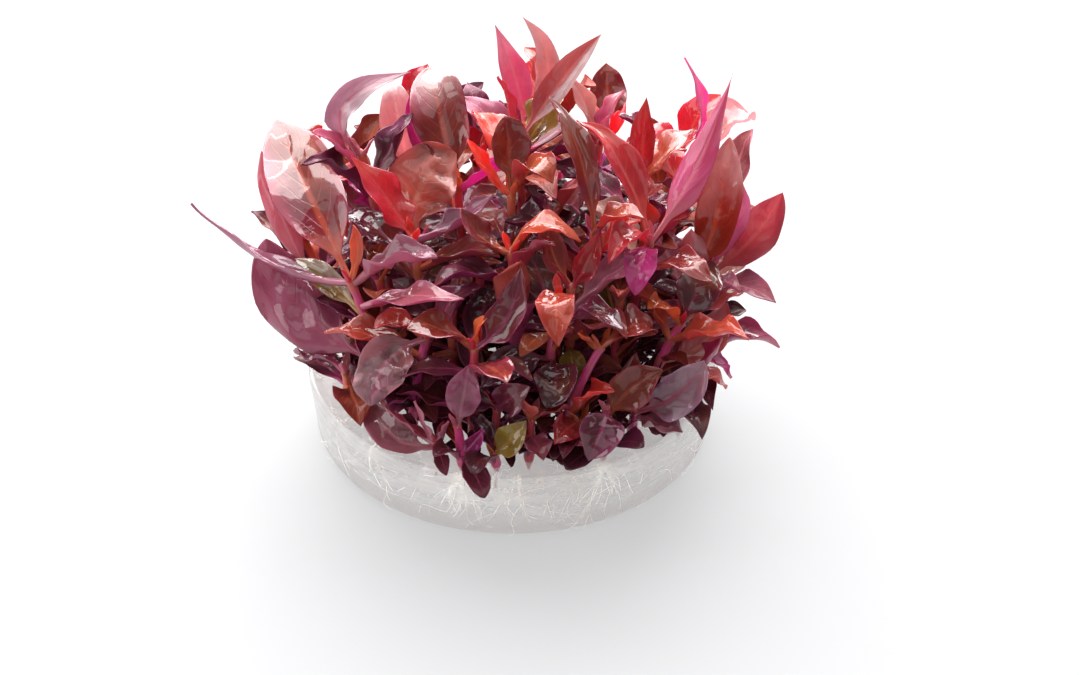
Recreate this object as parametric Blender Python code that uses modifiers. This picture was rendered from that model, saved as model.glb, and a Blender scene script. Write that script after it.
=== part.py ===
"""A clump of dwarf Alternanthera reineckii raised in a culture cup and turned out of it.

The cake of clear nutrient gel keeps the shape of the cup. Each shoot is a rooted stem
with its leaves grown on it, standing in its own socket in the gel.
Run with: blender --background --python part.py
"""
import math
from collections import namedtuple

import bmesh
import bpy
from mathutils import Matrix, Vector
from mathutils.bvhtree import BVHTree

MM = 0.001

# Gel cake, in millimetres
GEL_TOP_RADIUS = 33.0
GEL_FOOT_RADIUS = 32.0
GEL_HEIGHT = 12.5
GEL_TOP_ROUND = 0.8
GEL_FOOT_ROUND = 2.6
GEL_SIDES = 36
ROUND_STEPS = 2

# Stems and the sockets that they root in
STEM_RADIUS = 0.95
STEM_TIP_SHARE = 0.72
STEM_POINTS = 4
BUD_HEIGHT = 1.3
ROOTING_DEPTH = 7.0
SOCKET_GAP = 0.5
SOCKET_SIDES = 5
SOCKET_MOUTH = 2.0

# Leaves
LEAF_ROWS = 5
SMALL_LEAF_ROWS = 4
SMALL_LEAF_WIDTH = 5.5
LEAF_WIDTH = 6.6
LEAF_HALF_THICK = 0.36
PETIOLE_HALF_WIDTH = 0.62
PETIOLE_END = 0.3
LEAF_JOIN = 0.05
LEAF_FOLD = 0.30
BASE_TAPER = 1.15
TIP_TAPER = 0.80
LEAF_GAP = 0.3
GEL_CLEARANCE = 0.35

# Leaf pairs that follow the rule of the plant: each pair turned from the one below
PAIR_TURN = 96.0
PAIR_LOWEST = 0.30
PAIR_LENGTHS = (12.5, 15.5, 15.0, 14.0)
PAIR_RISES = (12.0, 26.0, 44.0, 58.0)
PAIR_ARCH = 0.16

# How far a leaf may be turned, lifted or shortened to pass its neighbours
TRY_SIZES = (1.0, 0.9, 0.8, 0.68, 0.56)
TRY_LIFTS = (0.0, 9.0, -9.0, 18.0, 30.0)
TRY_SWINGS = (0.0, 8.0, -8.0, 16.0, -16.0, 26.0, -26.0)

GEL_COLOUR = (0.86, 0.85, 0.82, 1.0)
SHOOT_COLOUR = (0.32, 0.03, 0.05, 1.0)

# A leaf given by hand: how far up the stem it sits (1 is the crown), its tip, its
# width, how its midrib bows away from a straight line, and where its upper side faces
Leaf = namedtuple("Leaf", "at tip width bow face", defaults=(LEAF_WIDTH, (0, 0, 2), (0, 0, 1)))

# A shoot: where it roots in the gel, its crown, its leaves given by hand, how many
# leaf pairs follow the rule, and which way the lowest of those pairs points
Shoot = namedtuple("Shoot", "name foot crown leaves pairs turn")

SHOOTS = [
    Shoot("left_arm", (-19, -17), (-24.5, -14, 36), [
        Leaf(1, (-49, 0, 42), 4.6, (-1, 0, -4), (4, 3, 9)),
        Leaf(1, (-37.2, 14.5, 47.6), 11.4, (0, -2.9, 2), (1, -8, 6)),
        Leaf(1, (-24, -13, 45.5), 2.6, (1, 0, 1)),
        Leaf(0.97, (-11, -19, 44), 7.2),
        Leaf(0.8, (-7, -23.5, 40), 6.0, (-1, -2, 2)),
        Leaf(0.38, (-38.6, -2, 36), 11.2, (-2.9, 0, -2.4), (1, 8, -6)),
        Leaf(0.72, (-34, -4, 34), 4.2, (0, 0, 1), (0, -8, 6)),
    ], 0, 0),
    Shoot("left_rim", (-25, -8), (-30, -5, 27), [
        Leaf(1, (-39, 9, 45), 5.0, (-2, 1, 2), (0, 8, -4)),
    ], 1, 100),
    Shoot("left_skirt", (-25.5, -13.5), (-26, -14, 19), [
        Leaf(1, (-34.5, -8, 20.5), 5.6, (0, 0, 1.5)),
    ], 1, 110),
    Shoot("left_vee", (-13, -11), (-15, -10, 41), [
        Leaf(1, (-24, -4.5, 53), 6.4, (1, 0, -1), (4, -4, 4)),
        Leaf(1, (-3, -9.5, 49.2), 5.0, (1, 0, -1)),
    ], 2, 60),
    Shoot("left_fan", (-12.5, -5.5), (-14.5, -5.5, 38), [
        Leaf(1, (-8.5, 0, 50.5), 11.6, (-2.4, 0, 1.6), (-2, -8, 6)),
    ], 1, 30),
    Shoot("centre_vee", (1, -14), (0, -15.5, 42.3), [
        Leaf(1, (-7.5, -14, 49.5), 5.4, (-1, 0, -1)),
        Leaf(1, (10.5, -17, 45.5), 5.2, (-1, 0, 4)),
    ], 2, 80),
    Shoot("front_fork", (-6, -25), (-5.5, -25, 31.5), [
        Leaf(1, (-15.5, -27, 36.5), 6.4, (0, 0, 2)),
        Leaf(1, (-7, -25, 37.6), 2.8, (-0.6, 0, 0)),
        Leaf(1, (1.5, -22, 44.5), 6.6, (1.5, -1, -1), (-2, -8, 6)),
    ], 2, 0),
    Shoot("front_band", (5, -21.5), (7, -20, 37.5), [
        Leaf(1, (2.4, -29.6, 35.8), 6.4, (-1, -1, 4)),
        Leaf(0.5, (5.2, -28.8, 23), 7.0, (1.2, -1, 2), (0, -8, 6)),
        Leaf(0.5, (-4.6, -26, 25), 6.0, (0, -0.5, 2.5), (-2, -6, 8)),
    ], 2, 40),
    Shoot("centre_twin", (9, -15.5), (9, -16.5, 36.5), [
        Leaf(1, (13.5, -13, 45), 4.6, (0, 0, -1), (0, -8, 6)),
        Leaf(1, (5.5, -12, 46), 4.8, (-1, 0, 0)),
    ], 3, 20),
    Shoot("front_magenta", (7, -26), (13.5, -22, 29.5), [
        Leaf(1, (10.4, -23.5, 33.5), 2.6, (-0.8, 0, 0)),
        Leaf(1, (21.5, -20, 31.5), 7.2, (1, -1, 3)),
        Leaf(0.35, (15.3, -28.8, 26.8), 4.6, (0, -0.5, 1.5)),
    ], 1, 70),
    Shoot("right_magenta", (20.5, -15.5), (26, -13.5, 28), [
        Leaf(1, (36, -8, 30.5), 4.4, (0, 0, 1)),
        Leaf(0.55, (33.5, -7, 27.5), 6.4, (1, -1, -2), (0, -8, 6)),
        Leaf(1, (20.6, -17, 33.4), 5.2, (0, 0, 1.6)),
        Leaf(1, (30, -8, 36.8), 7.2, (0, -1.6, 1), (0, -8, 6)),
    ], 2, 50),
    Shoot("right_tall", (17, -9), (21, -11, 41), [
        Leaf(1, (33.4, 2, 63.6), 6.2, (1.2, 0, -0.6), (1, 8, -6)),
        Leaf(1, (10.5, -1, 58), 6.6, (1, 0, 2)),
        Leaf(1, (14.5, -18, 42), 5.6, (0, -1, 4)),
        Leaf(0.96, (18.5, -20, 37.5), 5.4, (0, -1, 3)),
    ], 2, 30),
    Shoot("centre_right", (11.5, -8.5), (12.5, -11, 42.5), [
        Leaf(1, (8, 3, 60), 5.4, (1, -2.4, 1.4)),
        Leaf(1, (20, -15, 48.5), 5.6, (-1, 0, 2)),
    ], 2, 75),
    Shoot("right_brown", (25, -4), (28, -5, 30), [
        Leaf(1, (33, -2, 54), 8.8, (1, -1, 0), (0, -8, 6)),
        Leaf(1, (27, -9, 41), 5.6, (0, -1, 0)),
    ], 2, 20),
    Shoot("right_edge", (28, 3), (31, 0, 28), [
        Leaf(1, (42, 2, 42), 7.2, (1, 0, -1), (-2, -8, 6)),
        Leaf(1, (37.8, 3.5, 45.2), 5.4, (0.4, 0, 0), (0, 8, -6)),
        Leaf(0.9, (39.5, 4, 34.5), 4.4, (1, 0, -2)),
    ], 2, 40),
    Shoot("right_low", (27, -10), (30, -10.5, 20), [
        Leaf(1, (42, -8, 19.5), 5.6, (0, 0, 3)),
        Leaf(0.9, (34.5, -9.5, 14.6), 4.6, (0, 0, 1)),
    ], 1, 80),
    Shoot("front_right", (18.5, -21), (19, -22, 17.5), [
        Leaf(1, (29.2, -22.5, 27.5), 7.2, (1, -1, -1), (0, -8, 6)),
        Leaf(0.7, (26, -26, 18.2), 6.0, (0, -0.5, 0.5)),
        Leaf(1, (19, -21, 28), 5.6, (-1, -1, 0)),
    ], 0, 0),
    Shoot("right_skirt", (24.5, -16.5), (27, -18, 20), [
        Leaf(1, (31.5, -18.5, 29), 5.2, (1, 0, 0)),
        Leaf(1, (34, -15, 18.5), 5.4, (0, 0, 2)),
    ], 1, 85),
    Shoot("front_tuft", (-11.3, -27), (-11.5, -27.6, 15.8), [
        Leaf(0.6, (-22, -19, 18.2), 6.6, (-1.2, -3.6, -0.4), (0, -5, 8)),
        Leaf(0.9, (-18.6, -28.4, 22.8), 2.6, (0, 0, -0.6)),
        Leaf(1, (-14.6, -28.6, 24.8), 2.6, (-0.4, -0.4, 0)),
        Leaf(1, (-10.6, -29.6, 24.2), 2.6, (0.4, -0.4, 0)),
    ], 0, 0),
    Shoot("front_mauve", (-15.5, -20.5), (-13, -20.5, 30), [
        Leaf(1, (-21.4, -28, 23), 9.4, (-1.5, -1, 2.6), (-1, -8, 5)),
        Leaf(1, (-21, -20, 32), 5.0, (0, 0, 2)),
    ], 2, 90),
    Shoot("front_heart", (-7.6, -28.8), (-8.2, -29.2, 20.2), [
        Leaf(1, (-6.4, -28, 30.4), 5.6, (0, -0.6, 0), (0, -8, 6)),
        Leaf(0.2, (-4.4, -31.4, 21.2), 3.4, (0.4, 0, 0), (0, -8, 6)),
    ], 0, 0),
    Shoot("front_olive", (-2.4, -29), (-2.6, -29.8, 14.8), [
        Leaf(1, (2.2, -29.8, 21.6), 5.2, (0, -0.5, 0), (0, -5, 8)),
        Leaf(1, (-6, -26.4, 21.4), 4.6, (0, 0, 1)),
    ], 0, 0),
    Shoot("front_bulb", (2.6, -27.6), (3, -27.4, 20), [
        Leaf(1, (2, -29.6, 25.4), 3.4, (0, -0.4, 0)),
        Leaf(1, (8.6, -29.6, 21.6), 5.2, (0, -0.4, 1.4)),
        Leaf(0.6, (-2.6, -31, 22.2), 4.8, (0, -0.5, 0.5), (0, -6, 6)),
        Leaf(0.5, (5, -32.6, 16.2), 4.8, (0, -0.4, 1)),
    ], 0, 0),
    Shoot("front_red", (-2.6, -25), (-2.2, -26, 21), [
        Leaf(1, (-8.6, -29.4, 25.4), 5.2, (0, 0, 0.6), (0, -6, 7)),
        Leaf(1, (3, -29.4, 28), 5.4, (-0.5, -0.5, 0), (0, -8, 6)),
    ], 1, 30),
    Shoot("front_dark", (10.2, -24.6), (10.4, -25.4, 17.6), [
        Leaf(1, (5.6, -31, 18.4), 5.0, (0, 0, 1), (0, -6, 7)),
    ], 1, 80),
    Shoot("front_glossy", (14, -26), (14.4, -26, 20.6), [
        Leaf(1, (11.6, -31.8, 15.4), 7.0, (0.6, -1.2, 2), (0, -8, 6)),
        Leaf(0.75, (22.8, -25, 27.6), 6.6, (-0.5, 0, 1), (0, -8, 6)),
    ], 0, 0),
    Shoot("left_hook", (-18, -3), (-23, 0, 50), [
        Leaf(1, (-15.4, 4, 62.8), 4.8, (-6.4, -0.6, 1.4), (0, -4, 8)),
        Leaf(0.88, (-30.5, -1, 56.5), 4.4, (0, 0, 1)),
    ], 3, 15),
    Shoot("left_back_broad", (-7, 0), (-8.5, 0, 44), [
        Leaf(1, (-13, 12, 60), 9.6, (0, -2.4, 1.8), (0, -8, 6)),
        Leaf(1, (-15.2, 3, 58.4), 3.0, (-1.6, -1.2, 0.4), (-2, -8, 5)),
        Leaf(1, (1.4, -3, 53), 3.6, (0, 0, -0.5), (0, 6, 7)),
    ], 2, 40),
    Shoot("left_back", (-14, 6.5), (-16, 6, 42), [
        Leaf(1, (-19, 12, 58), 6.6, (0, -1.4, 1), (0, -8, 6)),
    ], 2, 100),
    Shoot("crown_front", (-1, -6), (0, -5, 46), [
        Leaf(1, (-1, -1.5, 58), 7.0),
        Leaf(1, (8, -7, 51.5), 6.6, (0, 0, 4)),
        Leaf(1, (-4.5, -4, 56.5), 3.8, (-1, 0, 0)),
    ], 2, 55),
    Shoot("crown_tall", (2, 4), (1, 5, 49), [
        Leaf(1, (13.5, 7.5, 67), 5.6, (0, 0, 1), (-2, -8, 6)),
        Leaf(1, (-1.5, 4, 62), 3.4, (0, 0, 0)),
        Leaf(0.9, (7.6, 10, 56.4), 6.6, (0, -1, 1)),
    ], 2, 0),
    Shoot("crown_back", (3, 12), (2, 12, 48), [
        Leaf(1, (-2.4, 11, 66.2), 5.0, (0.6, 0, 0), (2, -8, 6)),
        Leaf(1, (2, 16.5, 65), 4.4, (3.6, 0, 0), (0, -8, 6)),
    ], 2, 45),
    Shoot("right_back_red", (17, 3), (20, 2.5, 43), [
        Leaf(1, (20.5, 4.5, 57.5), 4.8, (0, 0, 0)),
        Leaf(1, (26.5, 12, 53.4), 6.6, (0, -2, 1.5)),
    ], 2, 60),
    Shoot("right_back_pink", (23, 9), (28, 7, 44), [
        Leaf(1, (26.5, 4, 65), 3.4, (2, 0, 0), (6, -4, 2)),
        Leaf(1, (38, 11, 50.6), 9.0, (0, 0, 2.2)),
    ], 2, 20),
    Shoot("back_right", (12, 11), (13.5, 11, 45), [
        Leaf(1, (16.5, 11.5, 55), 5.4, (0, 0, 0)),
        Leaf(0.94, (8.5, 15, 57), 4.2, (1, 0, 0)),
    ], 2, 85),
    Shoot("front_low_left", (-19.5, -20), (-19.5, -20, 22), [], 1, 135),
    Shoot("inner_front_left", (-9, -18), (-9, -17.5, 34), [], 3, 35),
    Shoot("inner_left", (-18.5, -9.5), (-20.5, -9, 33), [], 3, 0),
    Shoot("inner_left_back", (-17, 3), (-20.5, 3.5, 37), [
        Leaf(1, (-25.6, 2, 45), 4.2, (0.6, -1.4, 1), (5, -6, 3)),
    ], 2, 60),
    Shoot("inner_centre", (-4.5, -11.5), (-5, -11, 37), [], 3, 100),
    Shoot("inner_front", (0.5, -20), (0.5, -20.5, 31), [], 3, 65),
    Shoot("inner_right", (19, -3), (20, -3.5, 34), [], 3, 10),
    Shoot("inner_right_front", (15.5, -14.5), (16.5, -15, 33), [], 3, 50),
    Shoot("inner_middle", (5.5, -3.5), (6, -3, 40), [], 2, 70),
    Shoot("inner_back", (-4, 9.5), (-4.5, 9.5, 44), [], 2, 25),
    Shoot("rim_left", (-28, 4), (-33, 6, 30), [], 3, 70),
    Shoot("rim_left_back", (-23, 13), (-27, 17, 34), [], 3, 5),
    Shoot("rim_back_left", (-14.5, 18), (-17.5, 22, 38), [], 3, 50),
    Shoot("back_left", (-5, 18.5), (-6, 21, 35), [], 2, 0),
    Shoot("rim_back", (1, 27), (1, 32, 33), [], 3, 60),
    Shoot("rim_back_near", (-10, 26), (-12, 31, 31), [], 3, 20),
    Shoot("back_middle", (7, 20), (7.5, 22, 42), [], 2, 35),
    Shoot("rim_back_far", (13, 25), (15.5, 29.5, 33), [], 3, 80),
    Shoot("rim_right_back", (21.5, 18), (26, 21, 35), [], 3, 15),
    Shoot("rim_right", (28.5, 11.5), (34, 13.5, 31), [], 3, 45),
]


def clear_scene():
    for old in list(bpy.data.objects):
        bpy.data.objects.remove(old)


def new_collection(name):
    made = bpy.data.collections.new(name)
    bpy.context.scene.collection.children.link(made)
    return made


def new_material(name, colour, roughness, transmission=0.0):
    made = bpy.data.materials.new(name)
    made.use_nodes = True
    shader = made.node_tree.nodes["Principled BSDF"]
    shader.inputs["Base Color"].default_value = colour
    shader.inputs["Roughness"].default_value = roughness
    shader.inputs["Metallic"].default_value = 0.0
    shader.inputs["Transmission Weight"].default_value = transmission
    return made


def as_helper(obj):
    """Marks an object that only cuts or joins another, so that it is no part itself."""
    obj.hide_render = True
    obj.display_type = "WIRE"


def bezier(start, middle, end, t):
    """A point of the curve from start to end that leans towards middle."""
    return start * (1 - t) ** 2 + middle * (2 * t * (1 - t)) + end * t ** 2


def bezier_heading(start, middle, end, t):
    return ((middle - start) * (1 - t) + (end - middle) * t).normalized()


def stem_knee(foot, crown):
    """Stems rise straight out of the gel and lean over higher up."""
    return Vector((
        foot.x + 0.3 * (crown.x - foot.x),
        foot.y + 0.3 * (crown.y - foot.y),
        foot.z + 0.6 * (crown.z - foot.z),
    ))


def stem_point(shoot, at):
    foot = Vector((*shoot.foot, GEL_HEIGHT))
    crown = Vector(shoot.crown)
    return bezier(foot, stem_knee(foot, crown), crown, at)


def half_width(width, t):
    """Half the width of a leaf at t along it: a narrow petiole, a belly and a point."""
    widest = BASE_TAPER / (BASE_TAPER + TIP_TAPER)
    peak = widest ** BASE_TAPER * (1 - widest) ** TIP_TAPER
    blade = 0.5 * width * t ** BASE_TAPER * (1 - t) ** TIP_TAPER / peak
    return max(blade, PETIOLE_HALF_WIDTH) if t < PETIOLE_END else blade


def place_leaf(leaf, base, swing=0.0, lift=0.0, size=1.0):
    """(base, middle, tip) of a leaf's midrib, turned about its base."""
    tip = Vector(leaf.tip)
    middle = (base + tip) / 2 + Vector(leaf.bow) * 2
    across = (tip - base).cross(Vector((0, 0, 1))).normalized()
    turn = Matrix.Rotation(math.radians(swing), 3, "Z")
    turn = turn @ Matrix.Rotation(math.radians(lift), 3, across)
    return base, base + turn @ (middle - base) * size, base + turn @ (tip - base) * size


def leaf_form(rows):
    """A four-sided sphere as (t, across, above) for each point, its faces, and the
    faces of its blade alone.

    Its four meridians become a leaf's left margin, upper midrib, right margin and
    lower midrib.
    """
    ball = bmesh.new()
    bmesh.ops.create_uvsphere(ball, u_segments=4, v_segments=rows, radius=1)
    form = []
    for vert in ball.verts:
        ring = math.hypot(vert.co.x, vert.co.y)
        pole = ring < 0.001
        form.append((
            (1 + vert.co.z) / 2,
            0.0 if pole else vert.co.x / ring,
            0.0 if pole else vert.co.y / ring,
        ))
    faces = [[vert.index for vert in face.verts] for face in ball.faces]
    blade = [face for face in faces if min(form[i][0] for i in face) > LEAF_JOIN]
    ball.free()
    return form, faces, blade


def leaf_points(form, line, width, face, gap=0.0):
    """The form drawn out along a leaf's midrib. gap makes it that much bigger all round."""
    base, middle, tip = line
    level = (tip - base).cross(Vector(face)).normalized()
    points = []
    for t, across, above in form:
        heading = bezier_heading(base, middle, tip, t)
        side = (level - level.dot(heading) * heading).normalized()
        up = side.cross(heading)
        wide = half_width(width, t) + gap
        raised = above * (LEAF_HALF_THICK + gap) + LEAF_FOLD * abs(across) * wide
        points.append(bezier(base, middle, tip, t) + side * (across * wide) + up * raised)
    return points


def solid_from(points, faces):
    mesh = bmesh.new()
    verts = [mesh.verts.new(point) for point in points]
    for face in faces:
        mesh.faces.new([verts[i] for i in face])
    bmesh.ops.recalc_face_normals(mesh, faces=mesh.faces)
    return mesh


def rule_leaves(shoot):
    """The leaf pairs that no one placed by hand: opposite, each pair turned from the last."""
    made = []
    for pair in range(shoot.pairs):
        share = pair / max(1, shoot.pairs - 1) if shoot.pairs > 1 else 0.4
        top = 0.78 if shoot.leaves else 1.0
        at = PAIR_LOWEST + (top - PAIR_LOWEST) * share
        step = min(pair + (4 - shoot.pairs if not shoot.leaves else 0), 3)
        length, rise = PAIR_LENGTHS[step], math.radians(PAIR_RISES[step])
        base = stem_point(shoot, at)
        for opposite in (0, 180):
            heading = math.radians(shoot.turn + PAIR_TURN * pair + opposite)
            reach = Vector((
                math.cos(heading) * math.cos(rise),
                math.sin(heading) * math.cos(rise),
                math.sin(rise),
            ))
            tip = base + reach * length
            made.append(Leaf(at, tip, LEAF_WIDTH, (0, 0, PAIR_ARCH * length / 2)))
    return made


def bounds_of(points):
    low = Vector(map(min, zip(*points)))
    high = Vector(map(max, zip(*points)))
    return low, high


def apart(one, other):
    """True if two boxes, each (low, high), don't meet."""
    return any(
        one[1][i] < other[0][i] or other[1][i] < one[0][i] for i in range(3)
    )


class Space:
    """Keeps what has grown, so that a new leaf can be tested against its neighbours."""

    def __init__(self):
        self.grown = []

    def add(self, shoot, points, faces, blade):
        trees = [BVHTree.FromPolygons(points, part) for part in (faces, blade)]
        self.grown.append((shoot, bounds_of(points), *trees))

    def is_free(self, shoot, points, faces, blade):
        """True if a leaf keeps clear of the gel and of the other shoots, and its blade
        also of the other blades of its own shoot."""
        for point in points:
            over_gel = math.hypot(point.x, point.y) < GEL_TOP_RADIUS + GEL_CLEARANCE
            if over_gel and point.z < GEL_HEIGHT + GEL_CLEARANCE:
                return False
        box = bounds_of(points)
        near = [one for one in self.grown if not apart(box, one[1])]
        if not near:
            return True
        whole, blade_only = (BVHTree.FromPolygons(points, part) for part in (faces, blade))
        return not any(
            blade_only.overlap(own_blade) if owner == shoot else whole.overlap(own_whole)
            for owner, _, own_whole, own_blade in near
        )


def grow_leaf(space, shoot, leaf, shape):
    """The leaf's solid in the first place that is free, or None if none is."""
    form, faces, blade = shape
    base = stem_point(shoot, leaf.at)
    for size in TRY_SIZES:
        for lift in TRY_LIFTS:
            for swing in TRY_SWINGS:
                line = place_leaf(leaf, base, swing, lift, size)
                wider = leaf_points(form, line, leaf.width * size, leaf.face, LEAF_GAP)
                if space.is_free(shoot.name, wider, faces, blade):
                    points = leaf_points(form, line, leaf.width * size, leaf.face)
                    space.add(shoot.name, points, faces, blade)
                    return solid_from(points, faces)
    return None


def object_from(mesh, name, collection, material):
    """A new object in metres from a bmesh in millimetres."""
    data = bpy.data.meshes.new(name)
    bmesh.ops.scale(mesh, vec=(MM, MM, MM), verts=mesh.verts)
    mesh.to_mesh(data)
    mesh.free()
    data.materials.append(material)
    made = bpy.data.objects.new(name, data)
    collection.objects.link(made)
    return made


def stem_mesh(shoot):
    """The stem as a closed tube, from its rooted end to its crown."""
    curve = bpy.data.curves.new(shoot.name, "CURVE")
    curve.dimensions = "3D"
    curve.bevel_depth = STEM_RADIUS
    curve.bevel_resolution = 0
    curve.use_fill_caps = True
    spline = curve.splines.new("POLY")
    root = Vector((*shoot.foot, GEL_HEIGHT - ROOTING_DEPTH))
    shares = [i / (STEM_POINTS - 1) for i in range(STEM_POINTS)]
    places = [root] + [stem_point(shoot, share) for share in shares]
    bud = places[-1] + (places[-1] - places[-2]).normalized() * BUD_HEIGHT
    places.append(bud)
    spline.points.add(len(places) - 1)
    for point, place, share in zip(spline.points, places, [0.0] + shares + [1.0]):
        point.co = (*place, 1.0)
        point.radius = 1 - (1 - STEM_TIP_SHARE) * share
    tube = bpy.data.objects.new(shoot.name, curve)
    bpy.context.scene.collection.objects.link(tube)
    graph = bpy.context.evaluated_depsgraph_get()
    data = bpy.data.meshes.new_from_object(tube.evaluated_get(graph))
    bpy.data.objects.remove(tube)
    mesh = bmesh.new()
    mesh.from_mesh(data)
    bmesh.ops.remove_doubles(mesh, verts=mesh.verts, dist=0.01)
    bmesh.ops.recalc_face_normals(mesh, faces=mesh.faces)
    return mesh


def make_gel(parts, cutters, material):
    """The cake of gel: its profile turned about the axis, with a socket for each stem."""
    profile = [(0.0, GEL_HEIGHT)]
    for step in range(ROUND_STEPS + 1):
        turn = math.pi / 2 * step / ROUND_STEPS
        profile.append((
            GEL_TOP_RADIUS - GEL_TOP_ROUND * (1 - math.sin(turn)),
            GEL_HEIGHT - GEL_TOP_ROUND * (1 - math.cos(turn)),
        ))
    for step in range(ROUND_STEPS + 1):
        turn = math.pi / 2 * step / ROUND_STEPS
        profile.append((
            GEL_FOOT_RADIUS - GEL_FOOT_ROUND * (1 - math.cos(turn)),
            GEL_FOOT_ROUND * (1 - math.sin(turn)),
        ))
    profile.append((0.0, 0.0))
    data = bpy.data.meshes.new("gel_cake")
    points = [(x * MM, 0.0, z * MM) for x, z in profile]
    data.from_pydata(points, [(i, i + 1) for i in range(len(points) - 1)], [])
    data.materials.append(material)
    gel = bpy.data.objects.new("gel_cake", data)
    parts.objects.link(gel)
    turned = gel.modifiers.new("turned", "SCREW")
    turned.steps = turned.render_steps = GEL_SIDES
    turned.use_merge_vertices = True
    turned.merge_threshold = 0.00001
    sockets = bpy.data.collections.new("sockets")
    cutters.children.link(sockets)
    for shoot in SHOOTS:
        depth = ROOTING_DEPTH + SOCKET_GAP
        mesh = bmesh.new()
        bmesh.ops.create_cone(
            mesh, cap_ends=True, segments=SOCKET_SIDES, depth=depth + SOCKET_MOUTH,
            radius1=STEM_RADIUS + SOCKET_GAP, radius2=STEM_RADIUS + SOCKET_GAP,
        )
        middle = GEL_HEIGHT + (SOCKET_MOUTH - depth) / 2
        bmesh.ops.translate(mesh, vec=(*shoot.foot, middle), verts=mesh.verts)
        as_helper(object_from(mesh, "socket_" + shoot.name, sockets, material))
    cut = gel.modifiers.new("sockets", "BOOLEAN")
    cut.operation = "DIFFERENCE"
    cut.operand_type = "COLLECTION"
    cut.collection = sockets


def make_shoot(shoot, stem, solids, parts, cutters, material):
    """One shoot: its stem with every leaf joined to it."""
    name = "shoot_" + shoot.name
    stem = object_from(stem, name, parts, material)
    leaves = bpy.data.collections.new(name + "_leaves")
    cutters.children.link(leaves)
    for number, solid in enumerate(solids):
        as_helper(object_from(solid, f"leaf_{shoot.name}_{number}", leaves, material))
    join = stem.modifiers.new("leaves", "BOOLEAN")
    join.operation = "UNION"
    join.operand_type = "COLLECTION"
    join.collection = leaves


def grow_all(stems):
    """{shoot name: leaf solids}. Leaves placed by hand come first, then those of the rule."""
    space = Space()
    for name, stem in stems.items():
        stem.verts.index_update()
        points = [vert.co.copy() for vert in stem.verts]
        faces = [[vert.index for vert in face.verts] for face in stem.faces]
        space.add(name, points, faces, [])
    grown = {shoot.name: [] for shoot in SHOOTS}
    large, small = leaf_form(LEAF_ROWS), leaf_form(SMALL_LEAF_ROWS)
    for shoot in SHOOTS:
        for leaf in shoot.leaves:
            form = large if leaf.width > SMALL_LEAF_WIDTH else small
            grown[shoot.name].append(grow_leaf(space, shoot, leaf, form))
    for shoot in SHOOTS:
        for leaf in rule_leaves(shoot):
            grown[shoot.name].append(grow_leaf(space, shoot, leaf, small))
    return {name: [s for s in solids if s] for name, solids in grown.items()}


def main():
    clear_scene()
    parts = new_collection("alternanthera_clump")
    cutters = new_collection("cutters")
    gel_look = new_material("clear_gel", GEL_COLOUR, 0.12, 0.9)
    shoot_look = new_material("red_foliage", SHOOT_COLOUR, 0.28)
    stems = {shoot.name: stem_mesh(shoot) for shoot in SHOOTS}
    grown = grow_all(stems)
    make_gel(parts, cutters, gel_look)
    for shoot in SHOOTS:
        make_shoot(shoot, stems[shoot.name], grown[shoot.name], parts, cutters, shoot_look)


main()
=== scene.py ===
# %% [markdown]
# # A tissue-culture clump of dwarf Alternanthera reineckii
# The plant was raised in a cup of clear nutrient gel and turned out of it. About fifty
# rooted shoots stand in the gel, each with opposite, glossy leaves: burgundy or bright
# red above, magenta below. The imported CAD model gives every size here; this script
# dresses it.

# %% Load the frame
import itertools
import math
import random
from collections import namedtuple

import bmesh
import bpy
from mathutils import Matrix, Vector, noise
from mathutils.bvhtree import BVHTree


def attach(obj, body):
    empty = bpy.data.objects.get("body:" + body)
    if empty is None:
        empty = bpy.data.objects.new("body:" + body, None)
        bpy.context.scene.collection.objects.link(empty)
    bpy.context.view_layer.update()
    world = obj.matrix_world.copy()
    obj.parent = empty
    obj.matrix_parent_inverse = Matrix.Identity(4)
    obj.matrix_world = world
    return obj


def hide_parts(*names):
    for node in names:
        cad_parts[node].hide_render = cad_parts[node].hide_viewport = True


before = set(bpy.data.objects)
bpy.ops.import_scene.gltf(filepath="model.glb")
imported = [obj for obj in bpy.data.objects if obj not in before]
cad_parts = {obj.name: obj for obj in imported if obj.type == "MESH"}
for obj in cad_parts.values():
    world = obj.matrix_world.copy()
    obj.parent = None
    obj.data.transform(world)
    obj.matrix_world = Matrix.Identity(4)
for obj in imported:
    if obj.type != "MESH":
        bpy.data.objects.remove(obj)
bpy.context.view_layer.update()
MM = 0.001

# %% [markdown]
# ## How the shoots stand
# The solids were grown by a rule, so the fine leaves have to follow the same rule from
# the same numbers to lie where their solids lie. A leaf is given by how far up its stem
# it sits, its tip, its width, the bow of its midrib and where its upper side faces. All
# of it is in millimetres, with the gel's underside at height 0.

# %% Sizes shared with the solids
GEL_TOP_RADIUS = 33.0
GEL_FOOT_RADIUS = 32.0
GEL_HEIGHT = 12.5
GEL_TOP_ROUND = 0.8
GEL_FOOT_ROUND = 2.6
STEM_RADIUS = 0.95
STEM_TIP_SHARE = 0.72
STEM_POINTS = 4
BUD_HEIGHT = 1.3
ROOTING_DEPTH = 7.0
LEAF_ROWS = 5
SMALL_LEAF_ROWS = 4
SMALL_LEAF_WIDTH = 5.5
LEAF_WIDTH = 6.6
LEAF_HALF_THICK = 0.36
PETIOLE_HALF_WIDTH = 0.62
PETIOLE_END = 0.3
LEAF_JOIN = 0.05
LEAF_FOLD = 0.30
BASE_TAPER = 1.15
TIP_TAPER = 0.80
LEAF_GAP = 0.3
GEL_CLEARANCE = 0.35
PAIR_TURN = 96.0
PAIR_LOWEST = 0.30
PAIR_LENGTHS = (12.5, 15.5, 15.0, 14.0)
PAIR_RISES = (12.0, 26.0, 44.0, 58.0)
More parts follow.
